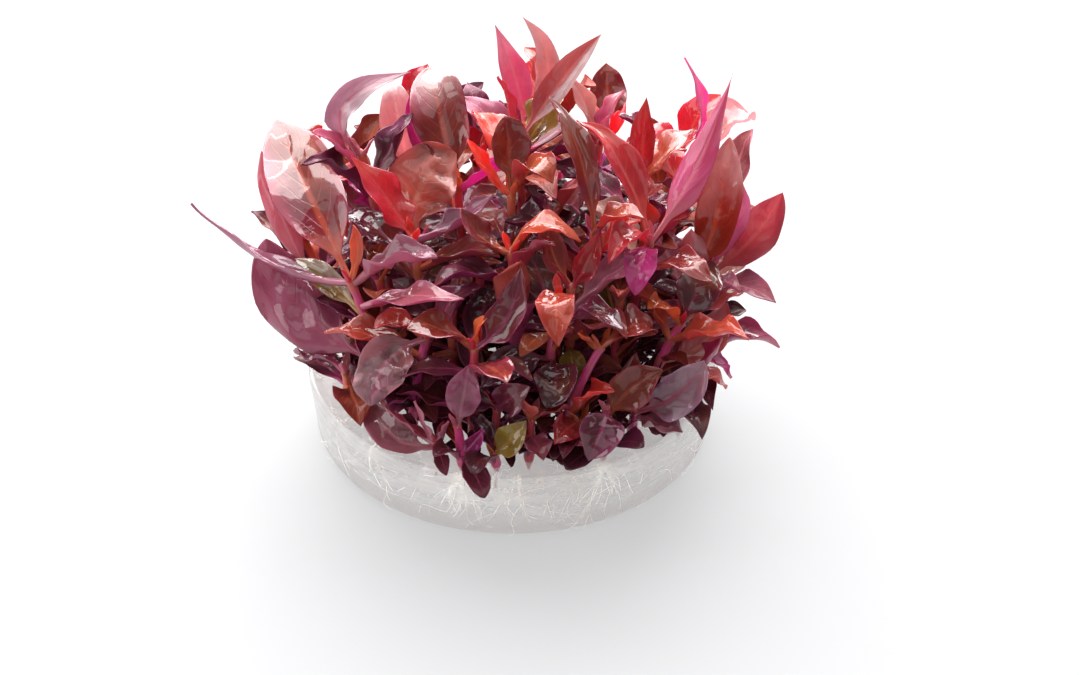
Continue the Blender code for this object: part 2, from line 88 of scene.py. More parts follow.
PAIR_ARCH = 0.16
TRY_SIZES = (1.0, 0.9, 0.8, 0.68, 0.56)
TRY_LIFTS = (0.0, 9.0, -9.0, 18.0, 30.0)
TRY_SWINGS = (0.0, 8.0, -8.0, 16.0, -16.0, 26.0, -26.0)

Leaf = namedtuple("Leaf", "at tip width bow face", defaults=(LEAF_WIDTH, (0, 0, 2), (0, 0, 1)))
Shoot = namedtuple("Shoot", "name foot crown leaves pairs turn")

# %% The shoots
# Each row: name, foot, crown, number of pairs by the rule, turn, and the leaves placed one by one
SHOOTS = [
    Shoot(name, foot, crown, [Leaf(*leaf) for leaf in leaves], pairs, turn)
    for name, foot, crown, pairs, turn, *leaves in (
        ("left_arm", (-19, -17), (-24.5, -14, 36), 0, 0, (1, (-49, 0, 42), 4.6, (-1, 0, -4), (4, 3, 9)),
         (1, (-37.2, 14.5, 47.6), 11.4, (0, -2.9, 2), (1, -8, 6)), (1, (-24, -13, 45.5), 2.6, (1, 0, 1)),
         (0.97, (-11, -19, 44), 7.2), (0.8, (-7, -23.5, 40), 6.0, (-1, -2, 2)),
         (0.38, (-38.6, -2, 36), 11.2, (-2.9, 0, -2.4), (1, 8, -6)),
         (0.72, (-34, -4, 34), 4.2, (0, 0, 1), (0, -8, 6))),
        ("left_rim", (-25, -8), (-30, -5, 27), 1, 100, (1, (-39, 9, 45), 5.0, (-2, 1, 2), (0, 8, -4))),
        ("left_skirt", (-25.5, -13.5), (-26, -14, 19), 1, 110, (1, (-34.5, -8, 20.5), 5.6, (0, 0, 1.5))),
        ("left_vee", (-13, -11), (-15, -10, 41), 2, 60, (1, (-24, -4.5, 53), 6.4, (1, 0, -1), (4, -4, 4)),
         (1, (-3, -9.5, 49.2), 5.0, (1, 0, -1))),
        ("left_fan", (-12.5, -5.5), (-14.5, -5.5, 38), 1, 30,
         (1, (-8.5, 0, 50.5), 11.6, (-2.4, 0, 1.6), (-2, -8, 6))),
        ("centre_vee", (1, -14), (0, -15.5, 42.3), 2, 80, (1, (-7.5, -14, 49.5), 5.4, (-1, 0, -1)),
         (1, (10.5, -17, 45.5), 5.2, (-1, 0, 4))),
        ("front_fork", (-6, -25), (-5.5, -25, 31.5), 2, 0, (1, (-15.5, -27, 36.5), 6.4, (0, 0, 2)),
         (1, (-7, -25, 37.6), 2.8, (-0.6, 0, 0)), (1, (1.5, -22, 44.5), 6.6, (1.5, -1, -1), (-2, -8, 6))),
        ("front_band", (5, -21.5), (7, -20, 37.5), 2, 40, (1, (2.4, -29.6, 35.8), 6.4, (-1, -1, 4)),
         (0.5, (5.2, -28.8, 23), 7.0, (1.2, -1, 2), (0, -8, 6)),
         (0.5, (-4.6, -26, 25), 6.0, (0, -0.5, 2.5), (-2, -6, 8))),
        ("centre_twin", (9, -15.5), (9, -16.5, 36.5), 3, 20,
         (1, (13.5, -13, 45), 4.6, (0, 0, -1), (0, -8, 6)), (1, (5.5, -12, 46), 4.8, (-1, 0, 0))),
        ("front_magenta", (7, -26), (13.5, -22, 29.5), 1, 70, (1, (10.4, -23.5, 33.5), 2.6, (-0.8, 0, 0)),
         (1, (21.5, -20, 31.5), 7.2, (1, -1, 3)), (0.35, (15.3, -28.8, 26.8), 4.6, (0, -0.5, 1.5))),
        ("right_magenta", (20.5, -15.5), (26, -13.5, 28), 2, 50, (1, (36, -8, 30.5), 4.4, (0, 0, 1)),
         (0.55, (33.5, -7, 27.5), 6.4, (1, -1, -2), (0, -8, 6)), (1, (20.6, -17, 33.4), 5.2, (0, 0, 1.6)),
         (1, (30, -8, 36.8), 7.2, (0, -1.6, 1), (0, -8, 6))),
        ("right_tall", (17, -9), (21, -11, 41), 2, 30,
         (1, (33.4, 2, 63.6), 6.2, (1.2, 0, -0.6), (1, 8, -6)), (1, (10.5, -1, 58), 6.6, (1, 0, 2)),
         (1, (14.5, -18, 42), 5.6, (0, -1, 4)), (0.96, (18.5, -20, 37.5), 5.4, (0, -1, 3))),
        ("centre_right", (11.5, -8.5), (12.5, -11, 42.5), 2, 75, (1, (8, 3, 60), 5.4, (1, -2.4, 1.4)),
         (1, (20, -15, 48.5), 5.6, (-1, 0, 2))),
        ("right_brown", (25, -4), (28, -5, 30), 2, 20, (1, (33, -2, 54), 8.8, (1, -1, 0), (0, -8, 6)),
         (1, (27, -9, 41), 5.6, (0, -1, 0))),
        ("right_edge", (28, 3), (31, 0, 28), 2, 40, (1, (42, 2, 42), 7.2, (1, 0, -1), (-2, -8, 6)),
         (1, (37.8, 3.5, 45.2), 5.4, (0.4, 0, 0), (0, 8, -6)), (0.9, (39.5, 4, 34.5), 4.4, (1, 0, -2))),
        ("right_low", (27, -10), (30, -10.5, 20), 1, 80, (1, (42, -8, 19.5), 5.6, (0, 0, 3)),
         (0.9, (34.5, -9.5, 14.6), 4.6, (0, 0, 1))),
        ("front_right", (18.5, -21), (19, -22, 17.5), 0, 0,
         (1, (29.2, -22.5, 27.5), 7.2, (1, -1, -1), (0, -8, 6)),
         (0.7, (26, -26, 18.2), 6.0, (0, -0.5, 0.5)), (1, (19, -21, 28), 5.6, (-1, -1, 0))),
        ("right_skirt", (24.5, -16.5), (27, -18, 20), 1, 85, (1, (31.5, -18.5, 29), 5.2, (1, 0, 0)),
         (1, (34, -15, 18.5), 5.4, (0, 0, 2))),
        ("front_tuft", (-11.3, -27), (-11.5, -27.6, 15.8), 0, 0,
         (0.6, (-22, -19, 18.2), 6.6, (-1.2, -3.6, -0.4), (0, -5, 8)),
         (0.9, (-18.6, -28.4, 22.8), 2.6, (0, 0, -0.6)), (1, (-14.6, -28.6, 24.8), 2.6, (-0.4, -0.4, 0)),
         (1, (-10.6, -29.6, 24.2), 2.6, (0.4, -0.4, 0))),
        ("front_mauve", (-15.5, -20.5), (-13, -20.5, 30), 2, 90,
         (1, (-21.4, -28, 23), 9.4, (-1.5, -1, 2.6), (-1, -8, 5)), (1, (-21, -20, 32), 5.0, (0, 0, 2))),
        ("front_heart", (-7.6, -28.8), (-8.2, -29.2, 20.2), 0, 0,
         (1, (-6.4, -28, 30.4), 5.6, (0, -0.6, 0), (0, -8, 6)),
         (0.2, (-4.4, -31.4, 21.2), 3.4, (0.4, 0, 0), (0, -8, 6))),
        ("front_olive", (-2.4, -29), (-2.6, -29.8, 14.8), 0, 0,
         (1, (2.2, -29.8, 21.6), 5.2, (0, -0.5, 0), (0, -5, 8)), (1, (-6, -26.4, 21.4), 4.6, (0, 0, 1))),
        ("front_bulb", (2.6, -27.6), (3, -27.4, 20), 0, 0, (1, (2, -29.6, 25.4), 3.4, (0, -0.4, 0)),
         (1, (8.6, -29.6, 21.6), 5.2, (0, -0.4, 1.4)),
         (0.6, (-2.6, -31, 22.2), 4.8, (0, -0.5, 0.5), (0, -6, 6)),
         (0.5, (5, -32.6, 16.2), 4.8, (0, -0.4, 1))),
        ("front_red", (-2.6, -25), (-2.2, -26, 21), 1, 30,
         (1, (-8.6, -29.4, 25.4), 5.2, (0, 0, 0.6), (0, -6, 7)),
         (1, (3, -29.4, 28), 5.4, (-0.5, -0.5, 0), (0, -8, 6))),
        ("front_dark", (10.2, -24.6), (10.4, -25.4, 17.6), 1, 80,
         (1, (5.6, -31, 18.4), 5.0, (0, 0, 1), (0, -6, 7))),
        ("front_glossy", (14, -26), (14.4, -26, 20.6), 0, 0,
         (1, (11.6, -31.8, 15.4), 7.0, (0.6, -1.2, 2), (0, -8, 6)),
         (0.75, (22.8, -25, 27.6), 6.6, (-0.5, 0, 1), (0, -8, 6))),
        ("left_hook", (-18, -3), (-23, 0, 50), 3, 15,
         (1, (-15.4, 4, 62.8), 4.8, (-6.4, -0.6, 1.4), (0, -4, 8)),
         (0.88, (-30.5, -1, 56.5), 4.4, (0, 0, 1))),
        ("left_back_broad", (-7, 0), (-8.5, 0, 44), 2, 40,
         (1, (-13, 12, 60), 9.6, (0, -2.4, 1.8), (0, -8, 6)),
         (1, (-15.2, 3, 58.4), 3.0, (-1.6, -1.2, 0.4), (-2, -8, 5)),
         (1, (1.4, -3, 53), 3.6, (0, 0, -0.5), (0, 6, 7))),
        ("left_back", (-14, 6.5), (-16, 6, 42), 2, 100, (1, (-19, 12, 58), 6.6, (0, -1.4, 1), (0, -8, 6))),
        ("crown_front", (-1, -6), (0, -5, 46), 2, 55, (1, (-1, -1.5, 58), 7.0),
         (1, (8, -7, 51.5), 6.6, (0, 0, 4)), (1, (-4.5, -4, 56.5), 3.8, (-1, 0, 0))),
        ("crown_tall", (2, 4), (1, 5, 49), 2, 0, (1, (13.5, 7.5, 67), 5.6, (0, 0, 1), (-2, -8, 6)),
         (1, (-1.5, 4, 62), 3.4, (0, 0, 0)), (0.9, (7.6, 10, 56.4), 6.6, (0, -1, 1))),
        ("crown_back", (3, 12), (2, 12, 48), 2, 45, (1, (-2.4, 11, 66.2), 5.0, (0.6, 0, 0), (2, -8, 6)),
         (1, (2, 16.5, 65), 4.4, (3.6, 0, 0), (0, -8, 6))),
        ("right_back_red", (17, 3), (20, 2.5, 43), 2, 60, (1, (20.5, 4.5, 57.5), 4.8, (0, 0, 0)),
         (1, (26.5, 12, 53.4), 6.6, (0, -2, 1.5))),
        ("right_back_pink", (23, 9), (28, 7, 44), 2, 20, (1, (26.5, 4, 65), 3.4, (2, 0, 0), (6, -4, 2)),
         (1, (38, 11, 50.6), 9.0, (0, 0, 2.2))),
        ("back_right", (12, 11), (13.5, 11, 45), 2, 85, (1, (16.5, 11.5, 55), 5.4, (0, 0, 0)),
         (0.94, (8.5, 15, 57), 4.2, (1, 0, 0))),
        ("front_low_left", (-19.5, -20), (-19.5, -20, 22), 1, 135),
        ("inner_front_left", (-9, -18), (-9, -17.5, 34), 3, 35),
        ("inner_left", (-18.5, -9.5), (-20.5, -9, 33), 3, 0),
        ("inner_left_back", (-17, 3), (-20.5, 3.5, 37), 2, 60,
         (1, (-25.6, 2, 45), 4.2, (0.6, -1.4, 1), (5, -6, 3))),
        ("inner_centre", (-4.5, -11.5), (-5, -11, 37), 3, 100),
        ("inner_front", (0.5, -20), (0.5, -20.5, 31), 3, 65),
        ("inner_right", (19, -3), (20, -3.5, 34), 3, 10),
        ("inner_right_front", (15.5, -14.5), (16.5, -15, 33), 3, 50),
        ("inner_middle", (5.5, -3.5), (6, -3, 40), 2, 70),
        ("inner_back", (-4, 9.5), (-4.5, 9.5, 44), 2, 25),
        ("rim_left", (-28, 4), (-33, 6, 30), 3, 70),
        ("rim_left_back", (-23, 13), (-27, 17, 34), 3, 5),
        ("rim_back_left", (-14.5, 18), (-17.5, 22, 38), 3, 50),
        ("back_left", (-5, 18.5), (-6, 21, 35), 2, 0),
        ("rim_back", (1, 27), (1, 32, 33), 3, 60),
        ("rim_back_near", (-10, 26), (-12, 31, 31), 3, 20),
        ("back_middle", (7, 20), (7.5, 22, 42), 2, 35),
        ("rim_back_far", (13, 25), (15.5, 29.5, 33), 3, 80),
        ("rim_right_back", (21.5, 18), (26, 21, 35), 3, 15),
        ("rim_right", (28.5, 11.5), (34, 13.5, 31), 3, 45),
    )
]
print(len(SHOOTS), "shoots,", sum(len(s.leaves) for s in SHOOTS), "leaves given by hand")

# %% [markdown]
# ## Growing the leaves into free space
# A leaf can't pass through its neighbour. Each leaf is tried in its own place first,
# then turned, lifted or shortened a little until it is clear of all that has grown
# before it. The test body is a four-sided ball drawn out along the midrib, which is
# just what the solid leaf is.

# %% Curves and outlines
def bezier(start, middle, end, t):
    """A point of the curve from start to end that leans towards middle."""
    return start * (1 - t) ** 2 + middle * (2 * t * (1 - t)) + end * t ** 2


def bezier_heading(start, middle, end, t):
    return ((middle - start) * (1 - t) + (end - middle) * t).normalized()


def toward(heading, rise=0.0):
    """The direction of a heading and a rise above the ground, both in radians."""
    return Vector((math.cos(heading) * math.cos(rise), math.sin(heading) * math.cos(rise), math.sin(rise)))


def stem_point(shoot, at):
    """A point of the stem. Stems rise straight out of the gel and lean over higher up."""
    foot, crown = Vector((*shoot.foot, GEL_HEIGHT)), Vector(shoot.crown)
    knee = [low + lean * (high - low) for low, high, lean in zip(foot, crown, (0.3, 0.3, 0.6))]
    return bezier(foot, Vector(knee), crown, at)


def outline_peak(point):
    """The outline of a blade at its widest, before it is scaled to the leaf's width."""
    widest = BASE_TAPER / (BASE_TAPER + point)
    return widest ** BASE_TAPER * (1 - widest) ** point


def half_width(width, t):
    """Half the width of a leaf at t along it: a narrow petiole, a belly and a point."""
    blade = 0.5 * width * t ** BASE_TAPER * (1 - t) ** TIP_TAPER / outline_peak(TIP_TAPER)
    return max(blade, PETIOLE_HALF_WIDTH) if t < PETIOLE_END else blade


def place_leaf(leaf, base, swing=0.0, lift=0.0, size=1.0):
    """(base, middle, tip) of a leaf's midrib, turned about its base."""
    tip = Vector(leaf.tip)
    middle = (base + tip) / 2 + Vector(leaf.bow) * 2
    across = (tip - base).cross(Vector((0, 0, 1))).normalized()
    turn = Matrix.Rotation(math.radians(swing), 3, "Z")
    turn = turn @ Matrix.Rotation(math.radians(lift), 3, across)
    return base, base + turn @ (middle - base) * size, base + turn @ (tip - base) * size

# %% The test body of a leaf
def leaf_form(rows):
    """A four-sided ball as (t, across, above) for each point, its faces, and the faces of
    its blade alone. Its meridians become the margins and the two sides of the midrib."""
    ball = bmesh.new()
    bmesh.ops.create_uvsphere(ball, u_segments=4, v_segments=rows, radius=1)
    form = []
    for vert in ball.verts:
        ring = math.hypot(vert.co.x, vert.co.y)
        sides = (0.0, 0.0) if ring < 0.001 else (vert.co.x / ring, vert.co.y / ring)
        form.append(((1 + vert.co.z) / 2, *sides))
    faces = [[vert.index for vert in face.verts] for face in ball.faces]
    blade = [face for face in faces if min(form[i][0] for i in face) > LEAF_JOIN]
    ball.free()
    return form, faces, blade


def leaf_points(form, line, width, face, gap=0.0):
    """The form drawn out along a leaf's midrib. gap makes it that much bigger all round."""
    level = (line[2] - line[0]).cross(Vector(face)).normalized()
    points = []
    for t, across, above in form:
        heading = bezier_heading(*line, t)
        side = (level - level.dot(heading) * heading).normalized()
        wide = half_width(width, t) + gap
        raised = above * (LEAF_HALF_THICK + gap) + LEAF_FOLD * abs(across) * wide
        points.append(bezier(*line, t) + side * (across * wide) + side.cross(heading) * raised)
    return points


def rule_leaves(shoot):
    """The leaf pairs that no one placed by hand: opposite, each pair turned from the last."""
    top = 0.78 if shoot.leaves else 1.0
    for pair in range(shoot.pairs):
        share = pair / max(1, shoot.pairs - 1) if shoot.pairs > 1 else 0.4
        at = PAIR_LOWEST + (top - PAIR_LOWEST) * share
        step = min(pair + (4 - shoot.pairs if not shoot.leaves else 0), 3)
        length, rise = PAIR_LENGTHS[step], math.radians(PAIR_RISES[step])
        for opposite in (0, 180):
            heading = math.radians(shoot.turn + PAIR_TURN * pair + opposite)
            tip = stem_point(shoot, at) + toward(heading, rise) * length
            yield Leaf(at, tip, LEAF_WIDTH, (0, 0, PAIR_ARCH * length / 2))

# %% Room to grow
def bounds_of(points):
    return [Vector(map(side, zip(*points))) for side in (min, max)]


def apart(one, other):
    """True if two boxes, each (low, high), don't meet."""
    return any(one[1][i] < other[0][i] or other[1][i] < one[0][i] for i in range(3))


class Space:
    """Keeps what has grown, so that a new leaf can be tested against its neighbours."""

    def __init__(self):
        self.grown = []

    def add(self, shoot, points, faces, blade):
        trees = [BVHTree.FromPolygons(points, part) for part in (faces, blade)]
        self.grown.append((shoot, bounds_of(points), *trees))

    def is_free(self, shoot, points, faces, blade):
        """True if a leaf keeps clear of the gel and of the other shoots, and its blade
        also of the other blades of its own shoot."""
        for point in points:
            over_gel = math.hypot(point.x, point.y) < GEL_TOP_RADIUS + GEL_CLEARANCE
            if over_gel and point.z < GEL_HEIGHT + GEL_CLEARANCE:
                return False
        box = bounds_of(points)
        near = [one for one in self.grown if not apart(box, one[1])]
        if not near:
            return True
        whole, blade_only = (BVHTree.FromPolygons(points, part) for part in (faces, blade))
        return not any(
            blade_only.overlap(own_blade) if owner == shoot else whole.overlap(own_whole)
            for owner, _, own_whole, own_blade in near
        )

# %% Stems as test bodies
def put(name, data):
    """A new object with this data, in the scene."""
    made = bpy.data.objects.new(name, data)
    bpy.context.scene.collection.objects.link(made)
    return made


def baked(thing):
    """The mesh that an object comes to, after which the object goes."""
    mesh = bpy.data.meshes.new_from_object(thing.evaluated_get(bpy.context.evaluated_depsgraph_get()))
    bpy.data.objects.remove(thing)
    return mesh


def stem_body(shoot):
    """The points and faces of the stem as a closed tube, from its rooted end to its bud."""
    curve = bpy.data.curves.new(shoot.name, "CURVE")
    curve.dimensions = "3D"
    curve.bevel_depth = STEM_RADIUS
    curve.bevel_resolution = 0
    curve.use_fill_caps = True
    spline = curve.splines.new("POLY")
    shares = [i / (STEM_POINTS - 1) for i in range(STEM_POINTS)]
    places = [Vector((*shoot.foot, GEL_HEIGHT - ROOTING_DEPTH))]
    places += [stem_point(shoot, share) for share in shares]
    places.append(places[-1] + (places[-1] - places[-2]).normalized() * BUD_HEIGHT)
    spline.points.add(len(places) - 1)
    for point, place, share in zip(spline.points, places, [0.0] + shares + [1.0]):
        point.co = (*place, 1.0)
        point.radius = 1 - (1 - STEM_TIP_SHARE) * share
    stem = bmesh.new()
    stem.from_mesh(baked(put(shoot.name, curve)))
    bmesh.ops.remove_doubles(stem, verts=stem.verts, dist=0.01)
    bmesh.ops.recalc_face_normals(stem, faces=stem.faces)
    stem.verts.index_update()
    points = [vert.co.copy() for vert in stem.verts]
    faces = [[vert.index for vert in face.verts] for face in stem.faces]
    stem.free()
    return points, faces

# %% Small leaves that only the scene has
Grown = namedtuple("Grown", "line width face at given")
BY_RULE, SMALL = -1, -2
SIDE_NODES = (0.04, 0.17, 0.30, 0.43, 0.56, 0.69, 0.82)
SIDE_LENGTHS = (6.0, 12.0)
SIDE_REACH = 37.0
SIDE_TRIES = ((1.0, 0.8, 0.64), (0, 14, -12), (0, 20, -20, 40, -40))
SKIRT_NODES = (0.02, 0.08, 0.16)
SKIRT_LENGTHS = (6.5, 11.0)
SKIRT_FROM = 21.0
GROUND_FROM = -12.0
GROUND_AT_FRONT, GROUND_ELSEWHERE = 12, 4
GROUND_LENGTHS = (5.5, 10.0)
GROUND_REACH = 33.0
FULL_TURN = 6.283


def bares_wall(tip):
    """Whether a leaf to this tip would hang over the gel's wall where it is seen bare."""
    away = math.hypot(tip.x, tip.y)
    at_the_sides = (tip.x < -14 or tip.x > 21) and tip.y < 6 and tip.z < 20 and away > 28
    return at_the_sides or (tip.y < 0 and tip.z < 17 and away > 34)


def side_leaves(shoot, rng):
    """Small leaves of the side buds, which fill the clump between the solids' leaves."""
    for at in SIDE_NODES:
        start = rng.uniform(0, 180)
        for opposite in (0, 180):
            heading = math.radians(start + opposite + rng.uniform(-25, 25))
            rise = math.radians(rng.uniform(5, 62))
            length = rng.uniform(*SIDE_LENGTHS)
            tip = stem_point(shoot, at) + toward(heading, rise) * length
            too_far = math.hypot(tip.x, tip.y) > SIDE_REACH or tip.z > shoot.crown[2] - 2
            if not (too_far or bares_wall(tip)):
                yield Leaf(at, tip, length * rng.uniform(0.36, 0.5), (0, 0, 0.07 * length))


def skirt_leaves(shoot, rng):
    """Leaves of the rim shoots that hang out over the edge of the gel."""
    out = Vector((*shoot.foot, 0)).normalized()
    for at in SKIRT_NODES if math.hypot(*shoot.foot) >= SKIRT_FROM else ():
        turn = math.radians(rng.choice((-1, 1)) * rng.uniform(15, 95))
        heading = Vector((out.x * math.cos(turn) - out.y * math.sin(turn),
                          out.x * math.sin(turn) + out.y * math.cos(turn), 0))
        length = rng.uniform(*SKIRT_LENGTHS)
        reach = heading + Vector((0, 0, rng.uniform(0.2, 1.1)))
        tip = stem_point(shoot, at) + reach.normalized() * length
        if not bares_wall(tip):
            yield Leaf(at, tip, length * rng.uniform(0.45, 0.65), (0, 0, 0.12 * length))


def ground_leaves(shoot, rng):
    """Leaves close to the gel, which hide it between the stems; they take dark looks, as painted shade."""
    for _ in range(GROUND_AT_FRONT if shoot.foot[1] < GROUND_FROM else GROUND_ELSEWHERE):
        at = rng.uniform(0.03, 0.26)
        turn, rise = rng.uniform(0, FULL_TURN), rng.uniform(0.0, 0.35)
        length = rng.uniform(*GROUND_LENGTHS)
        reach = toward(turn) + Vector((0, 0, rise))
        tip = stem_point(shoot, at) + reach.normalized() * length
        if math.hypot(tip.x, tip.y) < GROUND_REACH and not bares_wall(tip):
            yield Leaf(at, tip, length * rng.uniform(0.45, 0.6), (0, 0, 0.1 * length))

# %% Grow everything
def grow_leaf(space, shoot, leaf, shape, given, tries=(TRY_SIZES, TRY_LIFTS, TRY_SWINGS)):
    """The leaf in the first place that is free, or None if none is."""
    form, faces, blade = shape
    base = stem_point(shoot, leaf.at)
    for size, lift, swing in itertools.product(*tries):
        line = place_leaf(leaf, base, swing, lift, size)
        wider = leaf_points(form, line, leaf.width * size, leaf.face, LEAF_GAP)
        if space.is_free(shoot.name, wider, faces, blade):
            points = leaf_points(form, line, leaf.width * size, leaf.face)
            space.add(shoot.name, points, faces, blade)
            return Grown(line, leaf.width * size, leaf.face, leaf.at, given)
    return None


def grow_all():
    """{shoot name: grown leaves}. Leaves placed one by one come first, then those of the
    rule, as in the solids. The small leaves that only the scene has come last."""
    space = Space()
    for shoot in SHOOTS:
        space.add(shoot.name, *stem_body(shoot), [])
    grown = {shoot.name: [] for shoot in SHOOTS}
    large, small = leaf_form(LEAF_ROWS), leaf_form(SMALL_LEAF_ROWS)
    for shoot in SHOOTS:
        for number, leaf in enumerate(shoot.leaves):
            form = large if leaf.width > SMALL_LEAF_WIDTH else small
            grown[shoot.name].append(grow_leaf(space, shoot, leaf, form, number))
    for shoot in SHOOTS:
        for leaf in rule_leaves(shoot):
            grown[shoot.name].append(grow_leaf(space, shoot, leaf, small, BY_RULE))
    rng = random.Random(20)
    for maker, shoot in itertools.product((skirt_leaves, ground_leaves, side_leaves), SHOOTS):
        for leaf in maker(shoot, rng):
            grown[shoot.name].append(grow_leaf(space, shoot, leaf, small, SMALL, SIDE_TRIES))
    return {name: [leaf for leaf in leaves if leaf] for name, leaves in grown.items()}


GROWN = grow_all()
ALL_GROWN = [leaf for leaves in GROWN.values() for leaf in leaves]
print("leaves grown:", len(ALL_GROWN), "of them small:", sum(leaf.given == SMALL for leaf in ALL_GROWN))

# %% [markdown]
# ## The plant's colours, with painted light and shade
# The upper side of a leaf runs from burgundy to bright red, the underside is magenta,
# young leaves are orange and old ones olive. Every leaf takes one of these looks, a
# little shifted, so that no two match. Leaves high up and at the back and the right of
# the clump, where light passes through them, take brighter red looks as painted light;
# the low front and ground leaves take dark looks as painted shade.

# %% Leaf looks
Look = namedtuple("Look", "upper under rib glow")
LOOKS = {name: Look(*row) for name, *row in (
    ("bronze", (0.24, 0.03, 0.022), (0.42, 0.055, 0.1), (0.52, 0.11, 0.06), 0.36),
    ("rust", (0.43, 0.066, 0.036), (0.56, 0.095, 0.1), (0.66, 0.17, 0.085), 0.46),
    ("wine", (0.14, 0.02, 0.036), (0.34, 0.036, 0.13), (0.43, 0.06, 0.16), 0.28),
    ("plum", (0.25, 0.05, 0.082), (0.44, 0.11, 0.21), (0.52, 0.11, 0.2), 0.36),
    ("dark", (0.06, 0.012, 0.02), (0.2, 0.018, 0.06), (0.24, 0.03, 0.07), 0.16),
    ("red", (0.5, 0.04, 0.055), (0.64, 0.065, 0.13), (0.7, 0.14, 0.13), 0.5),
    ("scarlet", (0.64, 0.078, 0.06), (0.72, 0.1, 0.1), (0.78, 0.23, 0.14), 0.54),
    ("rose", (0.47, 0.13, 0.21), (0.6, 0.18, 0.29), (0.7, 0.29, 0.34), 0.48),
    ("pink", (0.5, 0.12, 0.17), (0.6, 0.2, 0.27), (0.76, 0.38, 0.41), 0.5),
    ("magenta", (0.5, 0.045, 0.25), (0.62, 0.085, 0.36), (0.74, 0.18, 0.4), 0.5),
    ("salmon", (0.58, 0.3, 0.26), (0.66, 0.4, 0.37), (0.76, 0.45, 0.37), 0.55),
    ("tan", (0.5, 0.23, 0.19), (0.64, 0.42, 0.4), (0.7, 0.4, 0.33), 0.5),
    ("coral", (0.5, 0.14, 0.13), (0.62, 0.22, 0.24), (0.72, 0.3, 0.26), 0.48),
    ("orange", (0.64, 0.17, 0.055), (0.7, 0.22, 0.11), (0.8, 0.34, 0.15), 0.55),
    ("olive", (0.3, 0.18, 0.035), (0.44, 0.23, 0.08), (0.56, 0.31, 0.1), 0.4),
    ("mauve", (0.34, 0.125, 0.165), (0.48, 0.18, 0.26), (0.6, 0.21, 0.3), 0.4),
    ("cerise", (0.4, 0.055, 0.13), (0.56, 0.11, 0.23), (0.74, 0.24, 0.32), 0.42),
    ("lilac", (0.43, 0.25, 0.31), (0.54, 0.31, 0.4), (0.56, 0.1, 0.16), 0.42),
)}
STEM_LOOKS = {"magenta": (0.74, 0.07, 0.3), "red": (0.66, 0.07, 0.12), "orange": (0.74, 0.18, 0.11)}

# The looks that the photograph shows on the leaves placed one by one
GIVEN_LOOKS = {
    "left_arm": "mauve bronze orange mauve rose plum olive", "left_rim": "pink", "left_skirt": "plum",
    "left_vee": "red mauve", "left_fan": "coral", "inner_left_back": "magenta",
    "centre_vee": "bronze rust", "front_fork": "bronze orange wine", "front_band": "rust dark dark",
    "centre_twin": "red bronze", "front_magenta": "orange bronze scarlet",
    "right_magenta": "coral coral orange dark", "right_tall": "cerise red red magenta",
    "centre_right": "bronze rust", "right_brown": "rust coral", "right_edge": "coral rose salmon",
    "right_low": "cerise magenta", "front_right": "lilac mauve bronze", "right_skirt": "cerise coral",
    "front_tuft": "mauve pink rose rose", "front_mauve": "mauve red", "front_heart": "rose magenta",
    "front_olive": "olive dark", "front_bulb": "rust bronze dark plum", "front_red": "dark wine",
    "front_dark": "red", "front_glossy": "wine bronze", "left_hook": "lilac rose",
    "left_back_broad": "bronze magenta magenta", "left_back": "salmon",
    "crown_front": "bronze rust scarlet", "crown_tall": "coral red olive", "crown_back": "rose tan",
    "right_back_red": "red rust", "right_back_pink": "magenta salmon", "back_right": "rose salmon",
}
GIVEN_STEMS = {"left_vee": "orange", "centre_vee": "red", "front_fork": "red", "right_tall": "red"}
for stem_name in ("left_arm", "front_magenta", "right_magenta", "front_tuft", "front_mauve",
                  "front_heart", "front_olive"):
    GIVEN_STEMS[stem_name] = "magenta"

# The looks to draw from elsewhere. A look that is named twice comes up twice as often.
GROUND_SHADE_DRAW = "wine dark dark wine".split()
LOW_SHADE_DRAW = "wine dark dark bronze wine rust".split()
SIDE_DRAW = "wine wine dark bronze bronze rust magenta red".split()
BACKLIT_DRAW = "scarlet red rose salmon rust".split()
MIDDLE_DRAW = "red rust rose bronze".split()
SHADY_DRAW = "bronze wine wine dark rust".split()
YOUNG_DRAW = "orange scarlet red pink".split()
STEM_DRAW = "magenta red red orange".split()
OLIVE_SHARE = 0.03
# Small leaves below this share of the stem are ground leaves. Below LOW_TIP and in front
# of BACK_TIP, in mm, the others lie in the shade.
# Ground leaves and low front leaves draw dark looks, as painted shade.
GROUND_NODES = 0.27
LOW_TIP, BACK_TIP = 34, 12


def look_for(shoot, leaf, rng):
    """The look of one leaf: from the photograph if the leaf is listed, else by its place."""
    tip = leaf.line[2]
    if leaf.given == SMALL:
        low = tip.z < LOW_TIP and tip.y < BACK_TIP
        return rng.choice(GROUND_SHADE_DRAW if leaf.at < GROUND_NODES else LOW_SHADE_DRAW if low else SIDE_DRAW)
    given = GIVEN_LOOKS.get(shoot.name, "").split()
    if 0 <= leaf.given < len(given):
        return given[leaf.given]
    # Leaves high up, at the back and at the right draw brighter looks more often, as painted backlight; the
    # rest draw middle or shady looks, as painted shade.
    bright = 0.30 + 0.010 * tip.x + 0.012 * tip.y + 0.008 * (tip.z - 35)
    draw = rng.random()
    if draw < OLIVE_SHARE:
        return "olive"
    if draw < bright * 0.55:
        return rng.choice(BACKLIT_DRAW)
    return rng.choice(MIDDLE_DRAW if draw < bright * 0.95 else SHADY_DRAW)


print(len(LOOKS), "leaf looks,", len(STEM_LOOKS), "stem looks")

# %% [markdown]
# ## Node helpers
# Geometry trees and materials are both built from nodes. Each tree is put on the bench
# first, and every helper builds there. What a helper gives back is a wire: an output
# that can be fed to another node, or take part in a sum. A sign between two wires adds
# the Math node, or the Vector Math node, that does the sum.

# %% Wires and the bench
class Bench:
    """Holds the node tree that is being built."""
    tree = None


